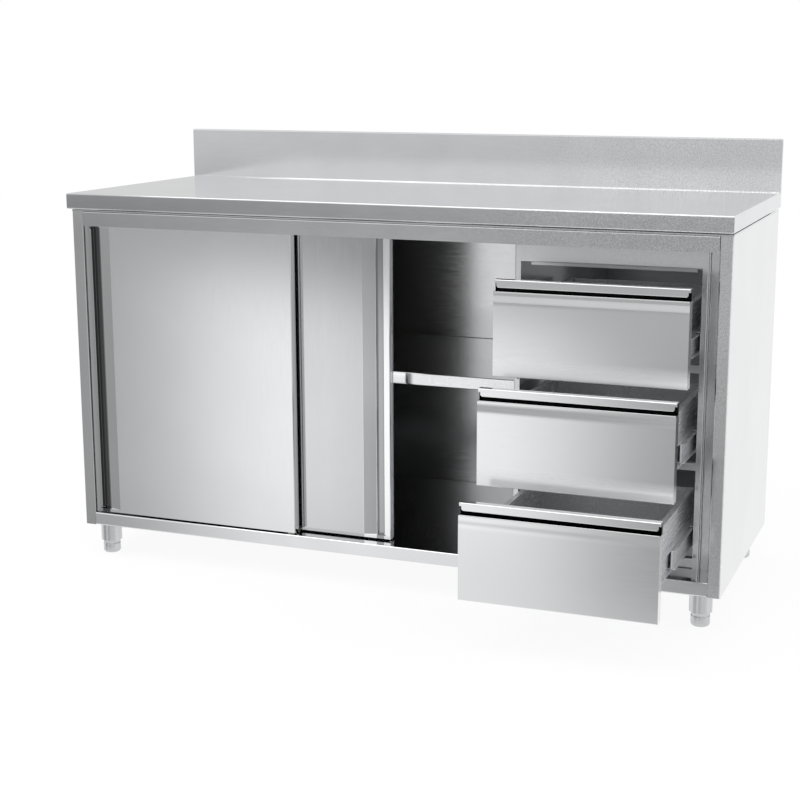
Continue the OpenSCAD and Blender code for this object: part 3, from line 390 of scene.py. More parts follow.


# The left end of the front is photographed darker than the right, so it gets painted shade towards
# the left, and the grain shows at the right only.
DIMMED_TO = 0.1
DIMMED_SHARE = 0.77
STILE_DEPTH = 0.0225
GRAIN_ON_EDGES = (0.0, 0.5)
GRAIN_ON_RIGHT = (0.2, 0.6)
carcass_low, carcass_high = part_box("side_panel_right")
frame_steel = brushed_steel("satin brushed frame sheet", "#d4d5d6", "#cbcccd", 0, 0.12)
gritty(frame_steel, 0.16, *GRAIN_ON_EDGES)
paint_shade_along_x(frame_steel, cad_low.x, DIMMED_TO, DIMMED_SHARE)
finish_of(frame_steel, "top_front_rail")
upright_steel = brushed_steel("satin brushed side sheet", "#dfe0e1", "#d8d9da", 2, 0.12)
gritty(upright_steel, 0.10, *GRAIN_ON_RIGHT)
paint_shade_along_x(upright_steel, cad_low.x, DIMMED_TO, DIMMED_SHARE, carcass_low.y + STILE_DEPTH)
finish_of(upright_steel, "side_panel_left", "side_panel_right")
floor_steel = brushed_steel("bright floor sheet", "#dedfe0", "#d5d6d8", 0, 0.11)
finish_of(floor_steel, "floor_panel")
back_steel = brushed_steel("bright back sheet", "#d2d3d4", "#c6c7c8", 0, 0.20)
gritty(back_steel, 0.07)
finish_of(back_steel, "back_panel")
inner_steel = brushed_steel("plain mill finish sheet", "#cfd0d2", "#bfc0c2", 0, 0.22)
finish_of(inner_steel, "top_rear_rail", "floor_stiffeners")


# Spot-weld marks: the panels are spot welded along their seams, and each weld leaves a shallow
# disc, browned by the heat. They are on faces that the photograph doesn't show.
def on_points(name, sizes, shape):
    """A tree that puts one shape on every point, with its Z axis along the point's facing."""
    tree = bpy.data.node_groups.new(name, "GeometryNodeTree")
    tree.interface.new_socket("Points", in_out="INPUT", socket_type="NodeSocketGeometry")
    for size in sizes:
        tree.interface.new_socket(size, in_out="INPUT", socket_type="NodeSocketFloat")
    tree.interface.new_socket("Finish", in_out="INPUT", socket_type="NodeSocketMaterial")
    tree.interface.new_socket("Pieces", in_out="OUTPUT", socket_type="NodeSocketGeometry")
    given = add(tree, "NodeGroupInput")
    facing = add(tree, "GeometryNodeInputNamedAttribute", {"Name": "facing"},
                 data_type="FLOAT_VECTOR")
    turned = add(tree, "FunctionNodeAlignRotationToVector",
                 joins={"Vector": facing.outputs["Attribute"]}, axis="Z")
    placed = add(tree, "GeometryNodeInstanceOnPoints",
                 joins={"Points": given.outputs["Points"], "Instance": shape(tree, given),
                        "Rotation": turned.outputs[0]})
    real = add(tree, "GeometryNodeRealizeInstances", joins={0: placed.outputs[0]})
    dressed = add(tree, "GeometryNodeSetMaterial", joins={"Geometry": real.outputs[0],
                                                          "Material": given.outputs["Finish"]})
    add(tree, "NodeGroupOutput", joins={0: dressed.outputs[0]})
    return tree


def piece_of(name, mesh, body):
    """Puts a mesh in the scene as a piece that rides on a body."""
    piece = bpy.data.objects.new(name, mesh)
    scene.collection.objects.link(piece)
    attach(piece, body)
    return piece


def made_by(tree, name, start, sizes, material, body):
    """Runs a tree on a mesh and keeps the result as a plain piece that rides on a body."""
    holder = bpy.data.objects.new(name + " points", start)
    scene.collection.objects.link(holder)
    maker = holder.modifiers.new("maker", "NODES")
    maker.node_group = tree
    for socket in tree.interface.items_tree:
        if socket.in_out == "INPUT" and socket.name in sizes:
            maker[socket.identifier] = sizes[socket.name]
        if socket.in_out == "INPUT" and socket.name == "Finish":
            maker[socket.identifier] = material
    bpy.context.view_layer.update()
    shape = holder.evaluated_get(bpy.context.evaluated_depsgraph_get())
    mesh = bpy.data.meshes.new_from_object(shape)
    mesh.name = name
    bpy.data.objects.remove(holder)
    piece_of(name, mesh, body)


def set_out(tree, name, places, sizes, material, body):
    """Puts a tree's shape at places, each a point and the way that it faces."""
    points = bpy.data.meshes.new(name + " points")
    points.from_pydata([point for point, _ in places], [], [])
    facing = points.attributes.new("facing", "FLOAT_VECTOR", "POINT")
    facing.data.foreach_set("vector", [float(c) for _, way in places for c in way])
    made_by(tree, name, points, sizes, material, body)


def mark_shape(tree, given):
    """A low disc with a bevelled rim, which stands a little out of its sheet."""
    rim = add(tree, "ShaderNodeMath", {1: 0.5}, {0: given.outputs["Diameter"]},
              operation="MULTIPLY")
    top = add(tree, "ShaderNodeMath", {1: 0.38}, {0: given.outputs["Diameter"]},
              operation="MULTIPLY")
    disc = add(tree, "GeometryNodeMeshCone", {"Vertices": 16},
               {"Radius Top": top.outputs[0], "Radius Bottom": rim.outputs[0],
                "Depth": given.outputs["Height"]})
    return disc.outputs["Mesh"]


def spaced(low, high, pitch):
    """Evenly spaced places from low to high, about a pitch apart."""
    steps = max(1, round((high - low) / pitch))
    return [low + (high - low) * i / steps for i in range(steps + 1)]


marks = on_points("spot-weld marks", ("Diameter", "Height"), mark_shape)
MARK = {"Diameter": 0.0042, "Height": 0.00025}
MARK_PITCH = 0.075
MARK_EDGE = 0.009
MARK_END = 0.02
MARK_CORNER = 0.08
weld_steel = brushed_steel("steel browned by spot welding", "#b9b4ab", "#a29c92", 0, 0.24)
back_low, back_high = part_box("back_panel")
set_out(marks, "back_panel_weld_marks",
        [((x, back_high.y, z), (0, 1, 0))
         for x in spaced(back_low.x + MARK_END, back_high.x - MARK_END, MARK_PITCH)
         for z in (back_low.z + MARK_EDGE, back_high.z - MARK_EDGE)]
        + [((x, back_high.y, z), (0, 1, 0))
           for z in spaced(back_low.z + MARK_CORNER, back_high.z - MARK_CORNER, MARK_PITCH)
           for x in (back_low.x + MARK_EDGE, back_high.x - MARK_EDGE)],
        MARK, weld_steel, "carcass")

# Legs: drawn tubes under plates held by welded studs and nuts, with a plastic insert in each.
# The tube's surface is drawn along its length and polished, so it shows upright streaks.
leg_steel = brushed_steel("drawn and polished leg tube", "#cbccce", "#bcbdbf", 2, 0.26)
finish_of(leg_steel, "leg_tubes")
zinc = brushed_steel("zinc plated steel", "#c9cbcd", "#b4b7ba", 1, 0.28)
finish_of(zinc, "leg_plates", "leg_plate_nuts")


def moulded(name, tone, worn_tone, roughness, grain):
    """Moulded plastic or rubber: slightly uneven colour and a fine spark-eroded grain."""
    cloud_size = grain * 14
    gloss_spread = 0.08
    plastic, tree = empty_material(name)
    place = add(tree, "ShaderNodeTexCoord")
    skin = add(tree, "ShaderNodeTexNoise", {"Scale": 1 / grain, "Detail": 2},
               {"Vector": place.outputs["Object"]})
    clouds = add(tree, "ShaderNodeTexNoise", {"Scale": 1 / cloud_size, "Detail": 2},
                 {"Vector": place.outputs["Object"]})
    spread = add(tree, "ShaderNodeMapRange", {1: CLOUD_RANGE[0], 2: CLOUD_RANGE[1]},
                 {0: clouds.outputs[0]})
    colour = add(tree, "ShaderNodeMix", {6: linear(tone), 7: linear(worn_tone)},
                 {0: spread.outputs[0]}, data_type="RGBA")
    gloss = add(tree, "ShaderNodeMapRange",
                {1: NOISE_RANGE[0], 2: NOISE_RANGE[1], 3: roughness - gloss_spread,
                 4: roughness + gloss_spread}, {0: skin.outputs[0]})
    relief = add(tree, "ShaderNodeBump", {"Strength": 0.4, "Distance": grain / 20},
                 {"Height": skin.outputs[0]})
    shader = add(tree, "ShaderNodeBsdfPrincipled", joins={"Base Color": colour.outputs[2],
                                                          "Roughness": gloss.outputs[0],
                                                          "Normal": relief.outputs[0]})
    add(tree, "ShaderNodeOutputMaterial", joins={0: shader.outputs[0]})
    return plastic


black_plastic = moulded("black moulded polyamide", "#1d1e1f", "#2a2b2c", 0.5, 0.0006)
finish_of(black_plastic, "leg_inserts")


# Weld beads: one run of weld round the top of each leg tube, where it meets its plate, left as
# welded. The bottom rail hides them.
def blob_shape(tree, given):
    """A small ball."""
    radius = add(tree, "ShaderNodeMath", {1: 0.5}, {0: given.outputs["Diameter"]},
                 operation="MULTIPLY")
    ball = add(tree, "GeometryNodeMeshIcoSphere", {"Subdivisions": 2},
               {"Radius": radius.outputs[0]})
    return ball.outputs["Mesh"]


blobs = on_points("round blobs", ("Diameter",), blob_shape)
tubes_low, tubes_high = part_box("leg_tubes")
TUBE_RADIUS = 0.024
LEG_X = tubes_high.x - TUBE_RADIUS
LEG_YS = (tubes_low.y + TUBE_RADIUS, tubes_high.y - TUBE_RADIUS)
LEGS = [(side * LEG_X, y) for side in (-1, 1) for y in LEG_YS]
WELD_STEPS = 64
WELD_OFF_TUBE = 0.0004
WELD_RUN = {"Diameter": 0.0028}
weld_radius = TUBE_RADIUS + WELD_OFF_TUBE
set_out(blobs, "leg_weld_beads",
        [((x + weld_radius * math.cos(2 * math.pi * i / WELD_STEPS),
           y + weld_radius * math.sin(2 * math.pi * i / WELD_STEPS),
           tubes_high.z - WELD_OFF_TUBE), (0, 0, 1)) for x, y in LEGS for i in range(WELD_STEPS)],
        WELD_RUN, weld_steel, "carcass")

# Feet: turned from bar, with a groove to grip and a rounded lower edge, and screwed into the
# tube's insert by an M12 stem. Turning leaves fine rings, so the scratches run around the foot.
FOOT_PROFILE = ((0.0, 0.0), (0.0150, 0.0), (0.0163, 0.0003), (0.0178, 0.0012), (0.0190, 0.0026),
                (0.0197, 0.0042), (0.0200, 0.0060), (0.0200, 0.0215), (0.0197, 0.0219),
                (0.0186, 0.0222), (0.0184, 0.0226), (0.0184, 0.0244), (0.0186, 0.0248),
                (0.0194, 0.0252), (0.0196, 0.0256), (0.0196, 0.0352), (0.0189, 0.0360),
                (0.0062, 0.0360), (0.0053, 0.0372), (0.0053, 0.0808), (0.0044, 0.0820),
                (0.0, 0.0820))
FOOT_SEGMENTS = 72
FOOT_SHARP_FROM = math.radians(28)
foot_steel = brushed_steel("turned foot", "#c8c9cb", "#b8b9bb", 0, 0.24)
tree = foot_steel.node_tree
foot_place = tree.nodes["place"].outputs["Object"]
turned_axes = add(tree, "ShaderNodeSeparateXYZ", joins={0: foot_place})
ring_place = add(tree, "ShaderNodeCombineXYZ", {0: 0.0, 1: 0.0}, {2: turned_axes.outputs["Z"]})
for link in list(foot_place.links):
    if link.to_node.bl_idname == "ShaderNodeMapping":
        tree.links.new(ring_place.outputs[0], link.to_socket)


def turned_mesh(name, profile, segments, x, y):
    """A closed shape turned about an upright axis, from points of radius and height."""
    corners = []
    rows = []
    for radius, z in profile:
        steps = segments if radius > 0 else 1
        rows.append([len(corners) + i for i in range(steps)])
        corners += [(x + radius * math.cos(2 * math.pi * i / segments),
                     y + radius * math.sin(2 * math.pi * i / segments), z)
                    for i in range(steps)]
    faces = []
    for below, above in zip(rows, rows[1:]):
        for i in range(segments):
            j = (i + 1) % segments
            loop = [below[i % len(below)], below[j % len(below)],
                    above[j % len(above)], above[i % len(above)]]
            faces.append([c for k, c in enumerate(loop) if c not in loop[:k]])
    mesh = bpy.data.meshes.new(name)
    mesh.from_pydata(corners, [], faces)
    mesh.shade_smooth()
    mesh.set_sharp_from_angle(angle=FOOT_SHARP_FROM)
    return mesh


# The stem's thread: an M12 coarse thread, drawn as a ridge wound up the stem. The tube hides it
# until the foot is screwed out.
THREAD_RADIUS = 0.00535
THREAD_RIDGE = 0.0005
THREAD_PITCH = 0.00175
THREAD_LOW = 0.0385
THREAD_HIGH = 0.0800
thread = bpy.data.node_groups.new("wound thread", "GeometryNodeTree")
for given_name, kind in (("Start", "NodeSocketGeometry"), ("Radius", "NodeSocketFloat"),
                         ("Turns", "NodeSocketFloat"), ("Length", "NodeSocketFloat"),
                         ("Ridge", "NodeSocketFloat"), ("Place", "NodeSocketVector"),
                         ("Finish", "NodeSocketMaterial")):
    thread.interface.new_socket(given_name, in_out="INPUT", socket_type=kind)
thread.interface.new_socket("Thread", in_out="OUTPUT", socket_type="NodeSocketGeometry")
given = add(thread, "NodeGroupInput")
wound = add(thread, "GeometryNodeCurveSpiral", {"Resolution": 24},
            {"Rotations": given.outputs["Turns"], "Start Radius": given.outputs["Radius"],
             "End Radius": given.outputs["Radius"], "Height": given.outputs["Length"]})
ridge = add(thread, "GeometryNodeCurvePrimitiveCircle", {"Resolution": 4},
            {"Radius": given.outputs["Ridge"]})
swept = add(thread, "GeometryNodeCurveToMesh", {"Fill Caps": True},
            {"Curve": wound.outputs[0], "Profile Curve": ridge.outputs[0]})
moved = add(thread, "GeometryNodeTransform", joins={"Geometry": swept.outputs[0],
                                                    "Translation": given.outputs["Place"]})
real = add(thread, "GeometryNodeRealizeInstances", joins={0: moved.outputs[0]})
dressed = add(thread, "GeometryNodeSetMaterial", joins={"Geometry": real.outputs[0],
                                                        "Material": given.outputs["Finish"]})
add(thread, "NodeGroupOutput", joins={0: dressed.outputs[0]})
for name, (x, y) in zip(("foot_front_left", "foot_rear_left", "foot_front_right",
                         "foot_rear_right"), LEGS):
    foot_mesh = turned_mesh(name + "_turned", FOOT_PROFILE, FOOT_SEGMENTS, x, y)
    foot_mesh.materials.append(foot_steel)
    foot = piece_of(name + "_turned", foot_mesh, name)
    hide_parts(name)
    made_by(thread, name + "_thread", bpy.data.meshes.new(name + "_thread start"),
            {"Radius": THREAD_RADIUS, "Turns": (THREAD_HIGH - THREAD_LOW) / THREAD_PITCH,
             "Length": THREAD_HIGH - THREAD_LOW, "Ridge": THREAD_RIDGE,
             "Place": (x, y, THREAD_LOW)}, foot_steel, name)

# Door track: twin folded channels under the worktop, screwed up from inside, with black rubber
# stops at their ends. The nylon guide on the floor panel keeps the doors upright, and the drawer
# fronts close on grey rubber buffers.
finish_of(inner_steel, "door_track")
# Rubber is dull, and nylon is ivory with a waxy gloss.
rubber = moulded("black rubber", "#141414", "#222222", 0.75, 0.0008)
finish_of(rubber, "track_stops")
soft_grey = moulded("grey rubber buffer", "#9a9a98", "#868684", 0.6, 0.0006)
finish_of(soft_grey, "drawer_buffers")
nylon = moulded("natural nylon", "#dcd8cd", "#cfcabd", 0.4, 0.0009)
finish_of(nylon, "door_floor_guide")


def screw_shape(tree, given):
    """A screw's pan head with a cross cut into it."""
    radius = add(tree, "ShaderNodeMath", {1: 0.5}, {0: given.outputs["Diameter"]},
                 operation="MULTIPLY")
    crown = add(tree, "ShaderNodeMath", {1: 0.34}, {0: given.outputs["Diameter"]},
                operation="MULTIPLY")
    slot_width = add(tree, "ShaderNodeMath", {1: 0.13}, {0: given.outputs["Diameter"]},
                     operation="MULTIPLY")
    slot_length = add(tree, "ShaderNodeMath", {1: 0.55}, {0: given.outputs["Diameter"]},
                      operation="MULTIPLY")
    head = add(tree, "GeometryNodeMeshCone", {"Vertices": 24},
               {"Radius Top": crown.outputs[0], "Radius Bottom": radius.outputs[0],
                "Depth": given.outputs["Height"]})
    lift = add(tree, "ShaderNodeCombineXYZ", joins={2: given.outputs["Height"]})
    cuts = []
    for order in ((0, 1), (1, 0)):
        size = add(tree, "ShaderNodeCombineXYZ", joins={
            order[0]: slot_length.outputs[0], order[1]: slot_width.outputs[0],
            2: given.outputs["Height"]})
        bar = add(tree, "GeometryNodeMeshCube", joins={"Size": size.outputs[0]})
        raised = add(tree, "GeometryNodeTransform", joins={"Geometry": bar.outputs["Mesh"],
                                                           "Translation": lift.outputs[0]})
        cuts.append(raised.outputs[0])
    cut = add(tree, "GeometryNodeMeshBoolean", joins={"Mesh 1": head.outputs["Mesh"]},
              operation="DIFFERENCE", solver="EXACT")
    for bar in cuts:
        tree.links.new(bar, cut.inputs["Mesh 2"])
    return cut.outputs["Mesh"]


screws = on_points("cross-head screws", ("Diameter", "Height"), screw_shape)
PAN_HEAD = {"Diameter": 0.0078, "Height": 0.0018}
track_low, track_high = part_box("door_track")
TRACK_SHEET = 0.0012
TRACK_WIDTH = 0.026
TRACK_SCREW_END = 0.11
TRACK_SCREW_PITCH = 0.3
set_out(screws, "track_screws",
        [((x, y, track_high.z - TRACK_SHEET), (0, 0, -1))
         for x in spaced(track_low.x + TRACK_SCREW_END, track_high.x - TRACK_SCREW_END,
                         TRACK_SCREW_PITCH)
         for y in (track_low.y + TRACK_WIDTH / 2, track_high.y - TRACK_WIDTH / 2)],
        PAN_HEAD, zinc, "carcass")

# Shelf: a pan folded from satin brushed sheet, which lies on angles spot welded to the sides and
# is held by its own weight.
GRAIN_ON_SHELF = (-0.2, 0.3)
shelf_steel = brushed_steel("satin brushed shelf sheet", "#dedfe0", "#d4d5d7", 0, 0.12)
gritty(shelf_steel, 0.10, *GRAIN_ON_SHELF)
finish_of(shelf_steel, "shelf")
finish_of(inner_steel, "shelf_angles")

# Drawer block: a welded face frame on two side plates, with a folded top panel and a filler that
# closes the space beside it. The grain shows at its right.
block_steel = brushed_steel("satin brushed block sheet", "#dedfe0", "#d5d6d8", 2, 0.20,
                            haze=0.4)
gritty(block_steel, 0.10, *GRAIN_ON_RIGHT)
finish_of(block_steel, "block_face_frame", "block_filler", "block_top_panel")
finish_of(inner_steel, "block_side_left", "block_side_right")

# Corner bead: a half-round steel strip over the joint between the block and its filler. The
# photograph shows no open joint there and a thin upright light, but the strip itself is a guess.
# Its steel is painted brighter than the sheets around it, as a painted highlight for that light.
BEAD_PLAY = 0.0002
BEAD_DEEP = 0.009
BEAD_NOSE_BACK = 0.3
BEAD_STEPS = 8
BEAD_SHARP_FROM = math.radians(35)
bead_steel = brushed_steel("polished half-round strip", "#f2f2f3", "#e6e7e8", 2, 0.30, haze=0.3)
filler_low, filler_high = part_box("block_filler")
block_low, block_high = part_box("block_face_frame")
bead_radius = (filler_low.x - block_high.x) / 2 - BEAD_PLAY
bead_x = (filler_low.x + block_high.x) / 2
bead_y = block_low.y + bead_radius * BEAD_NOSE_BACK
outline = [(bead_x - bead_radius * math.cos(math.pi * i / BEAD_STEPS),
            bead_y - bead_radius * math.sin(math.pi * i / BEAD_STEPS))
           for i in range(BEAD_STEPS + 1)]
outline += [(bead_x + bead_radius, bead_y + BEAD_DEEP), (bead_x - bead_radius, bead_y + BEAD_DEEP)]
corners = [(x, y, z) for z in (filler_low.z, filler_high.z) for x, y in outline]
count = len(outline)
faces = [[i, (i + 1) % count, count + (i + 1) % count, count + i] for i in range(count)]
faces += [list(reversed(range(count))), [count + i for i in range(count)]]
bead_mesh = bpy.data.meshes.new("block_corner_bead")
bead_mesh.from_pydata(corners, [], faces)
bead_mesh.shade_smooth()
bead_mesh.set_sharp_from_angle(angle=BEAD_SHARP_FROM)
bead_mesh.materials.append(bead_steel)
piece_of("block_corner_bead", bead_mesh, "carcass")

# Doors: an outer pan folded round an inner one, hung on rollers. The face is brushed upright and
# turns into the finger channel. The photographed tones of channels, slopes and grip strips go
# beyond what the studio gives, so each door's steel gets painted shade and painted light by place
# along X.
GRIP_WIDTH = 0.016
CHANNEL_WIDTH = 0.0175
FOLD_SOFT = 0.0005
# The left door's channel has painted shade, which reaches over the grip strip beside it.
GRIP_SHARES = (0.80, 0.62)
CHANNEL_SHARE = 0.14
PAST_CHANNEL = (0.001, 0.005)
left_steel = brushed_steel("door sheet brushed upright", "#dedfe0", "#dadbdc", 2, 0.11, 0.02)
door_low, door_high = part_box("left_door_shell")
channel_from = door_low.x + GRIP_WIDTH
channel_to = channel_from + CHANNEL_WIDTH
tree = left_steel.node_tree
axes = add(tree, "ShaderNodeSeparateXYZ", joins={0: tree.nodes["place"].outputs["Object"]})
grip_share = add(tree, "ShaderNodeMapRange", {1: door_low.x, 2: channel_from, 3: GRIP_SHARES[0],
                                              4: GRIP_SHARES[1]}, {0: axes.outputs["X"]})
in_channel = add(tree, "ShaderNodeMapRange", {1: channel_from - FOLD_SOFT,
                                              2: channel_from + FOLD_SOFT},
                 {0: axes.outputs["X"]})
channel_share = add(tree, "ShaderNodeMix", {3: CHANNEL_SHARE},
                    {0: in_channel.outputs[0], 2: grip_share.outputs[0]})
past_channel = add(tree, "ShaderNodeMapRange", {1: channel_to + PAST_CHANNEL[0],
                                                2: channel_to + PAST_CHANNEL[1]},
                   {0: axes.outputs["X"]})
door_share = add(tree, "ShaderNodeMix", {3: 1.0}, {0: past_channel.outputs[0],
                                                   2: channel_share.outputs[0]})
dimmed(left_steel, door_share.outputs[0])
finish_of(left_steel, "left_door_shell")
# The right door's panel has painted shade and its slope painted light, the more so low down.
# Its channel past the slope has painted shade, and the grip strip beside it painted light again.
PANEL_SHOWN = 0.09
PANEL_SHARES = (0.80, 0.72)
SLOPE_WIDTH = 0.030
SLOPE_SHARES = (1.30, 1.20)
SLOPE_SOFT = 0.0015
SLOPE_FADES = (0.45, 0.74)
SLOPE_TOP_SHARE = 0.62
CHANNEL_SOFT = 0.001
RIGHT_CHANNEL_SHARE = 0.50
RIGHT_GRIP_SHARE = 1.15
right_steel = brushed_steel("second door sheet brushed upright", "#dedfe0", "#dadbdc", 2, 0.11,
                            0.02)
grip_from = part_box("right_door_shell")[1].x - GRIP_WIDTH
slope_to = grip_from - CHANNEL_WIDTH
slope_from = slope_to - SLOPE_WIDTH
tree = right_steel.node_tree
axes = add(tree, "ShaderNodeSeparateXYZ", joins={0: tree.nodes["place"].outputs["Object"]})
on_panel = add(tree, "ShaderNodeMapRange", {1: slope_from - PANEL_SHOWN, 2: slope_from,
                                            3: PANEL_SHARES[0], 4: PANEL_SHARES[1]},
               {0: axes.outputs["X"]})
on_slope = add(tree, "ShaderNodeMapRange", {1: slope_from, 2: slope_to, 3: SLOPE_SHARES[0],
                                            4: SLOPE_SHARES[1]}, {0: axes.outputs["X"]})
bent = add(tree, "ShaderNodeMapRange", {1: slope_from - SLOPE_SOFT, 2: slope_from + SLOPE_SOFT},
           {0: axes.outputs["X"]})
up_slope = add(tree, "ShaderNodeMapRange", {1: SLOPE_FADES[0], 2: SLOPE_FADES[1], 3: 1.0,
                                            4: SLOPE_TOP_SHARE}, {0: axes.outputs["Z"]})
shaded_slope = add(tree, "ShaderNodeMath", joins={0: on_slope.outputs[0],
                                                  1: up_slope.outputs[0]}, operation="MULTIPLY")
strip = add(tree, "ShaderNodeMix", joins={0: bent.outputs[0], 2: on_panel.outputs[0],
                                          3: shaded_slope.outputs[0]})
in_channel = add(tree, "ShaderNodeMapRange", {1: slope_to - CHANNEL_SOFT,
                                              2: slope_to + CHANNEL_SOFT},
                 {0: axes.outputs["X"]})
channel_tone = add(tree, "ShaderNodeMix", {3: RIGHT_CHANNEL_SHARE},
                   {0: in_channel.outputs[0], 2: strip.outputs[0]})
on_grip = add(tree, "ShaderNodeMapRange", {1: grip_from - FOLD_SOFT, 2: grip_from + FOLD_SOFT},
              {0: axes.outputs["X"]})
whole_tone = add(tree, "ShaderNodeMix", {3: RIGHT_GRIP_SHARE},
                 {0: on_grip.outputs[0], 2: channel_tone.outputs[0]})
dimmed(right_steel, whole_tone.outputs[0])
finish_of(right_steel, "right_door_shell")
finish_of(inner_steel, "left_door_liner", "right_door_liner")
finish_of(zinc, "left_door_hangers", "right_door_hangers")
finish_of(nylon, "left_door_roller_left", "left_door_roller_right", "right_door_roller_left",
          "right_door_roller_right")


# Rivets: steel blind rivets hold the hangers to the inner pan, and their tails are closed to low
# domes. The spot welds down the pan's edges join it to the outer one.
def rivet_shape(tree, given):
    """A low dome whose lower half is in the sheet."""
    radius = add(tree, "ShaderNodeMath", {1: 0.5}, {0: given.outputs["Diameter"]},
                 operation="MULTIPLY")
    ball = add(tree, "GeometryNodeMeshUVSphere", {"Segments": 20, "Rings": 10},
               {"Radius": radius.outputs[0]})
    low = add(tree, "GeometryNodeTransform", {"Scale": (1, 1, 0.4)},
              {"Geometry": ball.outputs["Mesh"]})
    return low.outputs[0]


rivets = on_points("rivet heads", ("Diameter",), rivet_shape)
HANGER_EDGE = 0.070
HANGER_HALF = 0.012
RIVET_UP = 0.0012
RIVET = {"Diameter": 0.0056}
for side in ("left", "right"):
    liner_low, liner_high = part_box(side + "_door_liner")
    door_low, door_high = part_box(side + "_door_shell")
    rivet_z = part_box(side + "_door_hangers")[0].z + RIVET_UP
    set_out(rivets, side + "_door_rivets",
            [((x + step, liner_high.y, rivet_z), (0, 1, 0))
             for x in (door_low.x + HANGER_EDGE, door_high.x - HANGER_EDGE)
             for step in (-HANGER_HALF, HANGER_HALF)],
            RIVET, zinc, side + "_door")
    set_out(marks, side + "_door_weld_marks",
            [((x, liner_high.y, z), (0, 1, 0))
             for x in (liner_low.x + MARK_EDGE, liner_high.x - MARK_EDGE)
             for z in spaced(liner_low.z + MARK_END, liner_high.z - MARK_END, MARK_PITCH)],
            MARK, weld_steel, side + "_door")

# Drawers: a front folded round a finger pocket, on a box folded from plain bright sheet, which
# runs on three-part slides. The pocket is photographed black through its slit, so it gets painted
# shade.
SHEET = 0.001
LIP_HIGH = 0.017
LIP_BACK = 0.006
SLIT_HIGH = 0.0065
POCKET_SHARE = 0.01
POCKET_FROM_Z = (0.0006, 0.0002)
POCKET_UNDER_LIP = 0.0025
FOLD_SHARE = 0.55
FOLD_REACH = (0.0009, 0.0016)
LOW_EDGE_Z = (0.012, 0.040)
LOW_EDGE_METAL = 0.25
FRONT_MARK_SIDE = 0.014
FRONT_MARKS_Z = (0.030, 0.080, 0.130)
SLIDE_SHEET = 0.0015
SLIDE_SCREWS = (0.035, 0.215, 0.395)
MIDDLE_MEMBER_IN = 0.010
BALL = {"Diameter": 0.00192}
BALL_ROW = 0.150
BALL_PITCH = 0.006
BALL_SIDE = 0.005
BALL_UNDER_SHEET = 0.001
BALL_FROM_END = 0.01
box_steel = brushed_steel("drawer box sheet", "#dcdddf", "#cccdcf", 1, 0.26, haze=0.6)
gritty(box_steel, 0.22)
slide_zinc = brushed_steel("zinc plated slide", "#d6d8da", "#c2c4c6", 1, 0.30, haze=0.5)
finish_of(slide_zinc, "cabinet_slide_members")
slide_low, slide_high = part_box("cabinet_slide_members")
block_x = (slide_low.x + slide_high.x) / 2
open_half = (slide_high.x - slide_low.x) / 2
cabinet_screws = []
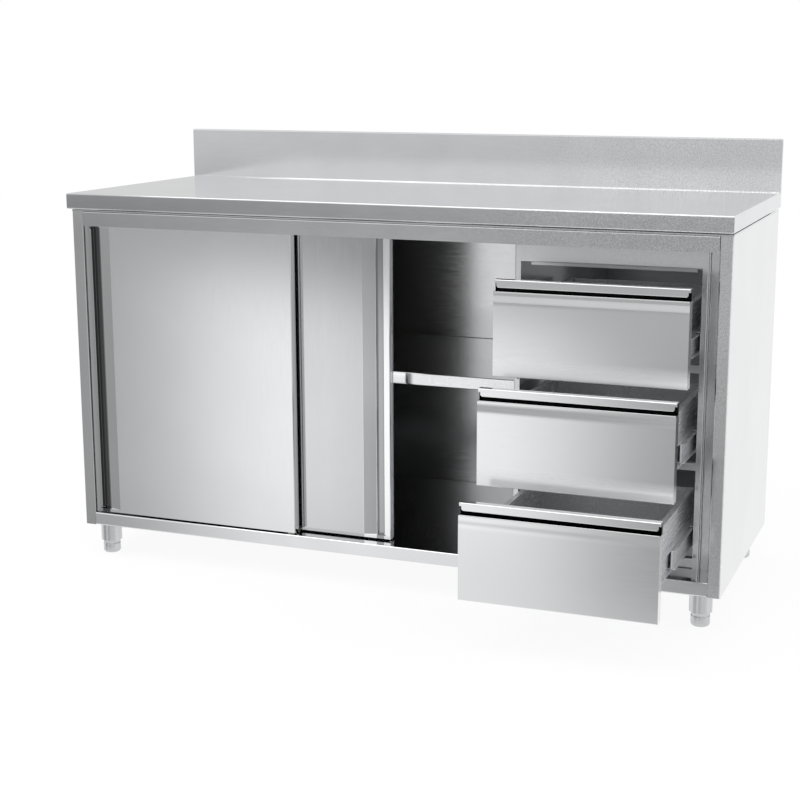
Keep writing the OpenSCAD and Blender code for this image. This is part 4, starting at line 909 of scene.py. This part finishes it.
for level in ("top", "middle", "bottom"):
    front_low, front_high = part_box(level + "_drawer_front")
    lip_z = front_high.z - LIP_HIGH
    slit_z = lip_z - SLIT_HIGH
    drawer_steel = brushed_steel(level + " drawer front sheet brushed along", "#dfe0e1",
                                 "#dbdcdd", 0, 0.11, 0.02)
    tree = drawer_steel.node_tree
    axes = add(tree, "ShaderNodeSeparateXYZ", joins={0: tree.nodes["place"].outputs["Object"]})
    # Painted shade: the inside of the pocket behind the slit is painted near black.
    pocket_from = add(tree, "ShaderNodeMapRange",
                      {1: lip_z - POCKET_FROM_Z[0], 2: lip_z - POCKET_FROM_Z[1],
                       3: front_low.y + POCKET_UNDER_LIP,
                       4: front_low.y + LIP_BACK + SHEET * 0.6}, {0: axes.outputs["Z"]})
    inside = add(tree, "ShaderNodeMath", joins={0: axes.outputs["Y"], 1: pocket_from.outputs[0]},
                 operation="GREATER_THAN")
    before_back = add(tree, "ShaderNodeMath", {1: front_high.y - SHEET / 2},
                      {0: axes.outputs["Y"]}, operation="LESS_THAN")
    over_slit = add(tree, "ShaderNodeMath", {1: slit_z - SHEET / 2},
                    {0: axes.outputs["Z"]}, operation="GREATER_THAN")
    under_top = add(tree, "ShaderNodeMath", {1: front_high.z - SHEET / 2},
                    {0: axes.outputs["Z"]}, operation="LESS_THAN")
    deep = add(tree, "ShaderNodeMath", joins={0: inside.outputs[0], 1: before_back.outputs[0]},
               operation="MULTIPLY")
    high = add(tree, "ShaderNodeMath", joins={0: over_slit.outputs[0], 1: under_top.outputs[0]},
               operation="MULTIPLY")
    pocket = add(tree, "ShaderNodeMath", joins={0: deep.outputs[0], 1: high.outputs[0]},
                 operation="MULTIPLY")
    kept = add(tree, "ShaderNodeMapRange", {3: 1.0, 4: POCKET_SHARE}, {0: pocket.outputs[0]})
    dimmed(drawer_steel, kept.outputs[0])
    # The fold under the slit is photographed as a grey line, so it gets a line of painted shade.
    from_fold = add(tree, "ShaderNodeMath", {1: slit_z - SHEET / 2},
                    {0: axes.outputs["Z"]}, operation="SUBTRACT")
    near_fold = add(tree, "ShaderNodeMath", joins={0: from_fold.outputs[0]},
                    operation="ABSOLUTE")
    fold_share = add(tree, "ShaderNodeMapRange", {1: FOLD_REACH[0], 2: FOLD_REACH[1],
                                                  3: FOLD_SHARE, 4: 1.0},
                     {0: near_fold.outputs[0]})
    dimmed(drawer_steel, fold_share.outputs[0])
    # The photograph hardly shows the dark inside of the drawer below mirrored in a front's lower
    # edge, so that edge scatters light like a matt surface.
    if level != "bottom":
        mirroring = add(tree, "ShaderNodeMapRange",
                        {1: front_low.z + LOW_EDGE_Z[0], 2: front_low.z + LOW_EDGE_Z[1],
                         3: LOW_EDGE_METAL, 4: 1.0}, {0: axes.outputs["Z"]})
        tree.links.new(mirroring.outputs[0], tree.nodes["surface"].inputs["Metallic"])
    finish_of(drawer_steel, level + "_drawer_front")
    finish_of(inner_steel, level + "_drawer_inner_panel")
    finish_of(box_steel, level + "_drawer_box")
    finish_of(slide_zinc, level + "_drawer_slide_members", level + "_slide_middle_members")
    # Slides: C-shaped members screwed to the box and to the block, with balls between them.
    box_low, box_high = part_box(level + "_drawer_box")
    box_half = (box_high.x - box_low.x) / 2
    member_low, member_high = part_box(level + "_drawer_slide_members")
    slide_z = (member_low.z + member_high.z) / 2
    drawer_screws = []
    for side in (-1, 1):
        for step in SLIDE_SCREWS:
            drawer_screws.append(((block_x + side * (box_half + SLIDE_SHEET),
                                   member_low.y + step, slide_z), (side, 0, 0)))
            cabinet_screws.append(((block_x + side * (open_half - SLIDE_SHEET),
                                    slide_low.y + step, slide_z), (-side, 0, 0)))
    set_out(screws, level + "_drawer_screws", drawer_screws, PAN_HEAD, zinc, level + "_drawer")
    middle_low, middle_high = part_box(level + "_slide_middle_members")
    rear_row = spaced(middle_high.y - BALL_FROM_END - BALL_ROW, middle_high.y - BALL_FROM_END,
                      BALL_PITCH)
    front_row = spaced(middle_low.y + BALL_FROM_END, middle_low.y + BALL_FROM_END + BALL_ROW,
                       BALL_PITCH)
    ball_up = (member_high.z - member_low.z) / 2 - SLIDE_SHEET - BALL_UNDER_SHEET
    balls = []
    for side in (-1, 1):
        middle_x = block_x + side * (open_half - MIDDLE_MEMBER_IN)
        for up in (-1, 1):
            ball_z = slide_z + up * ball_up
            balls += [((middle_x + side * BALL_SIDE, y, ball_z), (0, 0, 1)) for y in rear_row]
            balls += [((middle_x - side * BALL_SIDE, y, ball_z), (0, 0, 1)) for y in front_row]
    set_out(blobs, level + "_slide_balls", balls, BALL, leg_steel, level + "_slide_middle")
    set_out(marks, level + "_drawer_weld_marks",
            [((block_x + side * (box_half + FRONT_MARK_SIDE), front_high.y, front_low.z + z),
              (0, 1, 0)) for side in (-1, 1) for z in FRONT_MARKS_Z],
            MARK, weld_steel, level + "_drawer")
set_out(screws, "cabinet_slide_screws", cabinet_screws, PAN_HEAD, zinc, "carcass")

# Worktop: 1.5 mm sheet folded over a chipboard core, which lies on zinc plated hat rails. It is
# brushed along its length. Its front edge has painted shade, darker towards the left, as
# photographed.
EDGE_DIMMED = (-0.6, 0.5)
EDGE_SHARE = 0.62
EDGE_DEPTH = 0.0007
worktop_steel = brushed_steel("worktop sheet brushed along", "#d6d7d9", "#cdced0", 0, 0.12)
gritty(worktop_steel, 0.16, *GRAIN_ON_EDGES)
paint_shade_along_x(worktop_steel, *EDGE_DIMMED, EDGE_SHARE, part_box("worktop")[0].y + EDGE_DEPTH)
finish_of(worktop_steel, "worktop")
finish_of(zinc, "worktop_hat_rails")
CHIP_SIZE = 0.004
board, tree = empty_material("moisture resistant chipboard")
place = add(tree, "ShaderNodeTexCoord")
chips = add(tree, "ShaderNodeTexVoronoi", {"Scale": 1 / CHIP_SIZE},
            {"Vector": place.outputs["Object"]})
chip_tone = add(tree, "ShaderNodeSeparateColor", joins={0: chips.outputs["Color"]})
chip_colour = add(tree, "ShaderNodeMix", {6: linear("#8d7a58"), 7: linear("#5f4f36")},
                  {0: chip_tone.outputs[0]}, data_type="RGBA")
shape_of = add(tree, "ShaderNodeNewGeometry")
facing = add(tree, "ShaderNodeSeparateXYZ", joins={0: shape_of.outputs["True Normal"]})
upright = add(tree, "ShaderNodeMath", joins={0: facing.outputs["Z"]}, operation="ABSOLUTE")
flat = add(tree, "ShaderNodeMath", {1: 0.5}, {0: upright.outputs[0]}, operation="GREATER_THAN")
# Chipboard shows its pressed chips on its faces. Its sawn edges are sealed with dark paint, which
# also stands as painted shade in the gap under the worktop.
sealed_and_shaded_edges = add(tree, "ShaderNodeMix", {6: linear("#1b1a18")},
             {0: flat.outputs[0], 7: chip_colour.outputs[2]}, data_type="RGBA")
chip_relief = add(tree, "ShaderNodeBump", {"Strength": 0.3, "Distance": 0.0002},
                  {"Height": chips.outputs["Distance"]})
shader = add(tree, "ShaderNodeBsdfPrincipled", {"Roughness": 0.85},
             {"Base Color": sealed_and_shaded_edges.outputs[2], "Normal": chip_relief.outputs[0]})
add(tree, "ShaderNodeOutputMaterial", joins={0: shader.outputs[0]})
finish_of(board, "worktop_underlay")

# Gap strip: a folded steel strip round the top of the carcass. It narrows the gap under the
# worktop to the thin seam that the photograph shows, but the strip itself is a guess. Each corner
# of its profile is given by how far in it lies and how high over the carcass.
STRIP_PROFILE = ((0.0, 0.0), (0.0, 0.0032), (0.0006, 0.0038), (0.0013, 0.0038),
                 (0.0019, 0.0032), (0.0019, 0.0))
STRIP_PLAY = 0.0002
corners = []
for inward, up in STRIP_PROFILE:
    side_x = carcass_high.x - STRIP_PLAY - inward
    front_y = carcass_low.y + STRIP_PLAY + inward
    z = carcass_high.z + up
    corners += [(-side_x, back_low.y, z), (-side_x, front_y, z),
                (side_x, front_y, z), (side_x, back_low.y, z)]
count = len(STRIP_PROFILE)
faces = [[4 * i + j, 4 * i + j + 1, 4 * ((i + 1) % count) + j + 1, 4 * ((i + 1) % count) + j]
         for i in range(count) for j in range(3)]
faces += [[4 * i for i in reversed(range(count))], [4 * i + 3 for i in range(count)]]
strip_mesh = bpy.data.meshes.new("worktop_gap_strip")
strip_mesh.from_pydata(corners, [], faces)
strip_mesh.materials.append(frame_steel)
piece_of("worktop_gap_strip", strip_mesh, "carcass")

low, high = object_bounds()
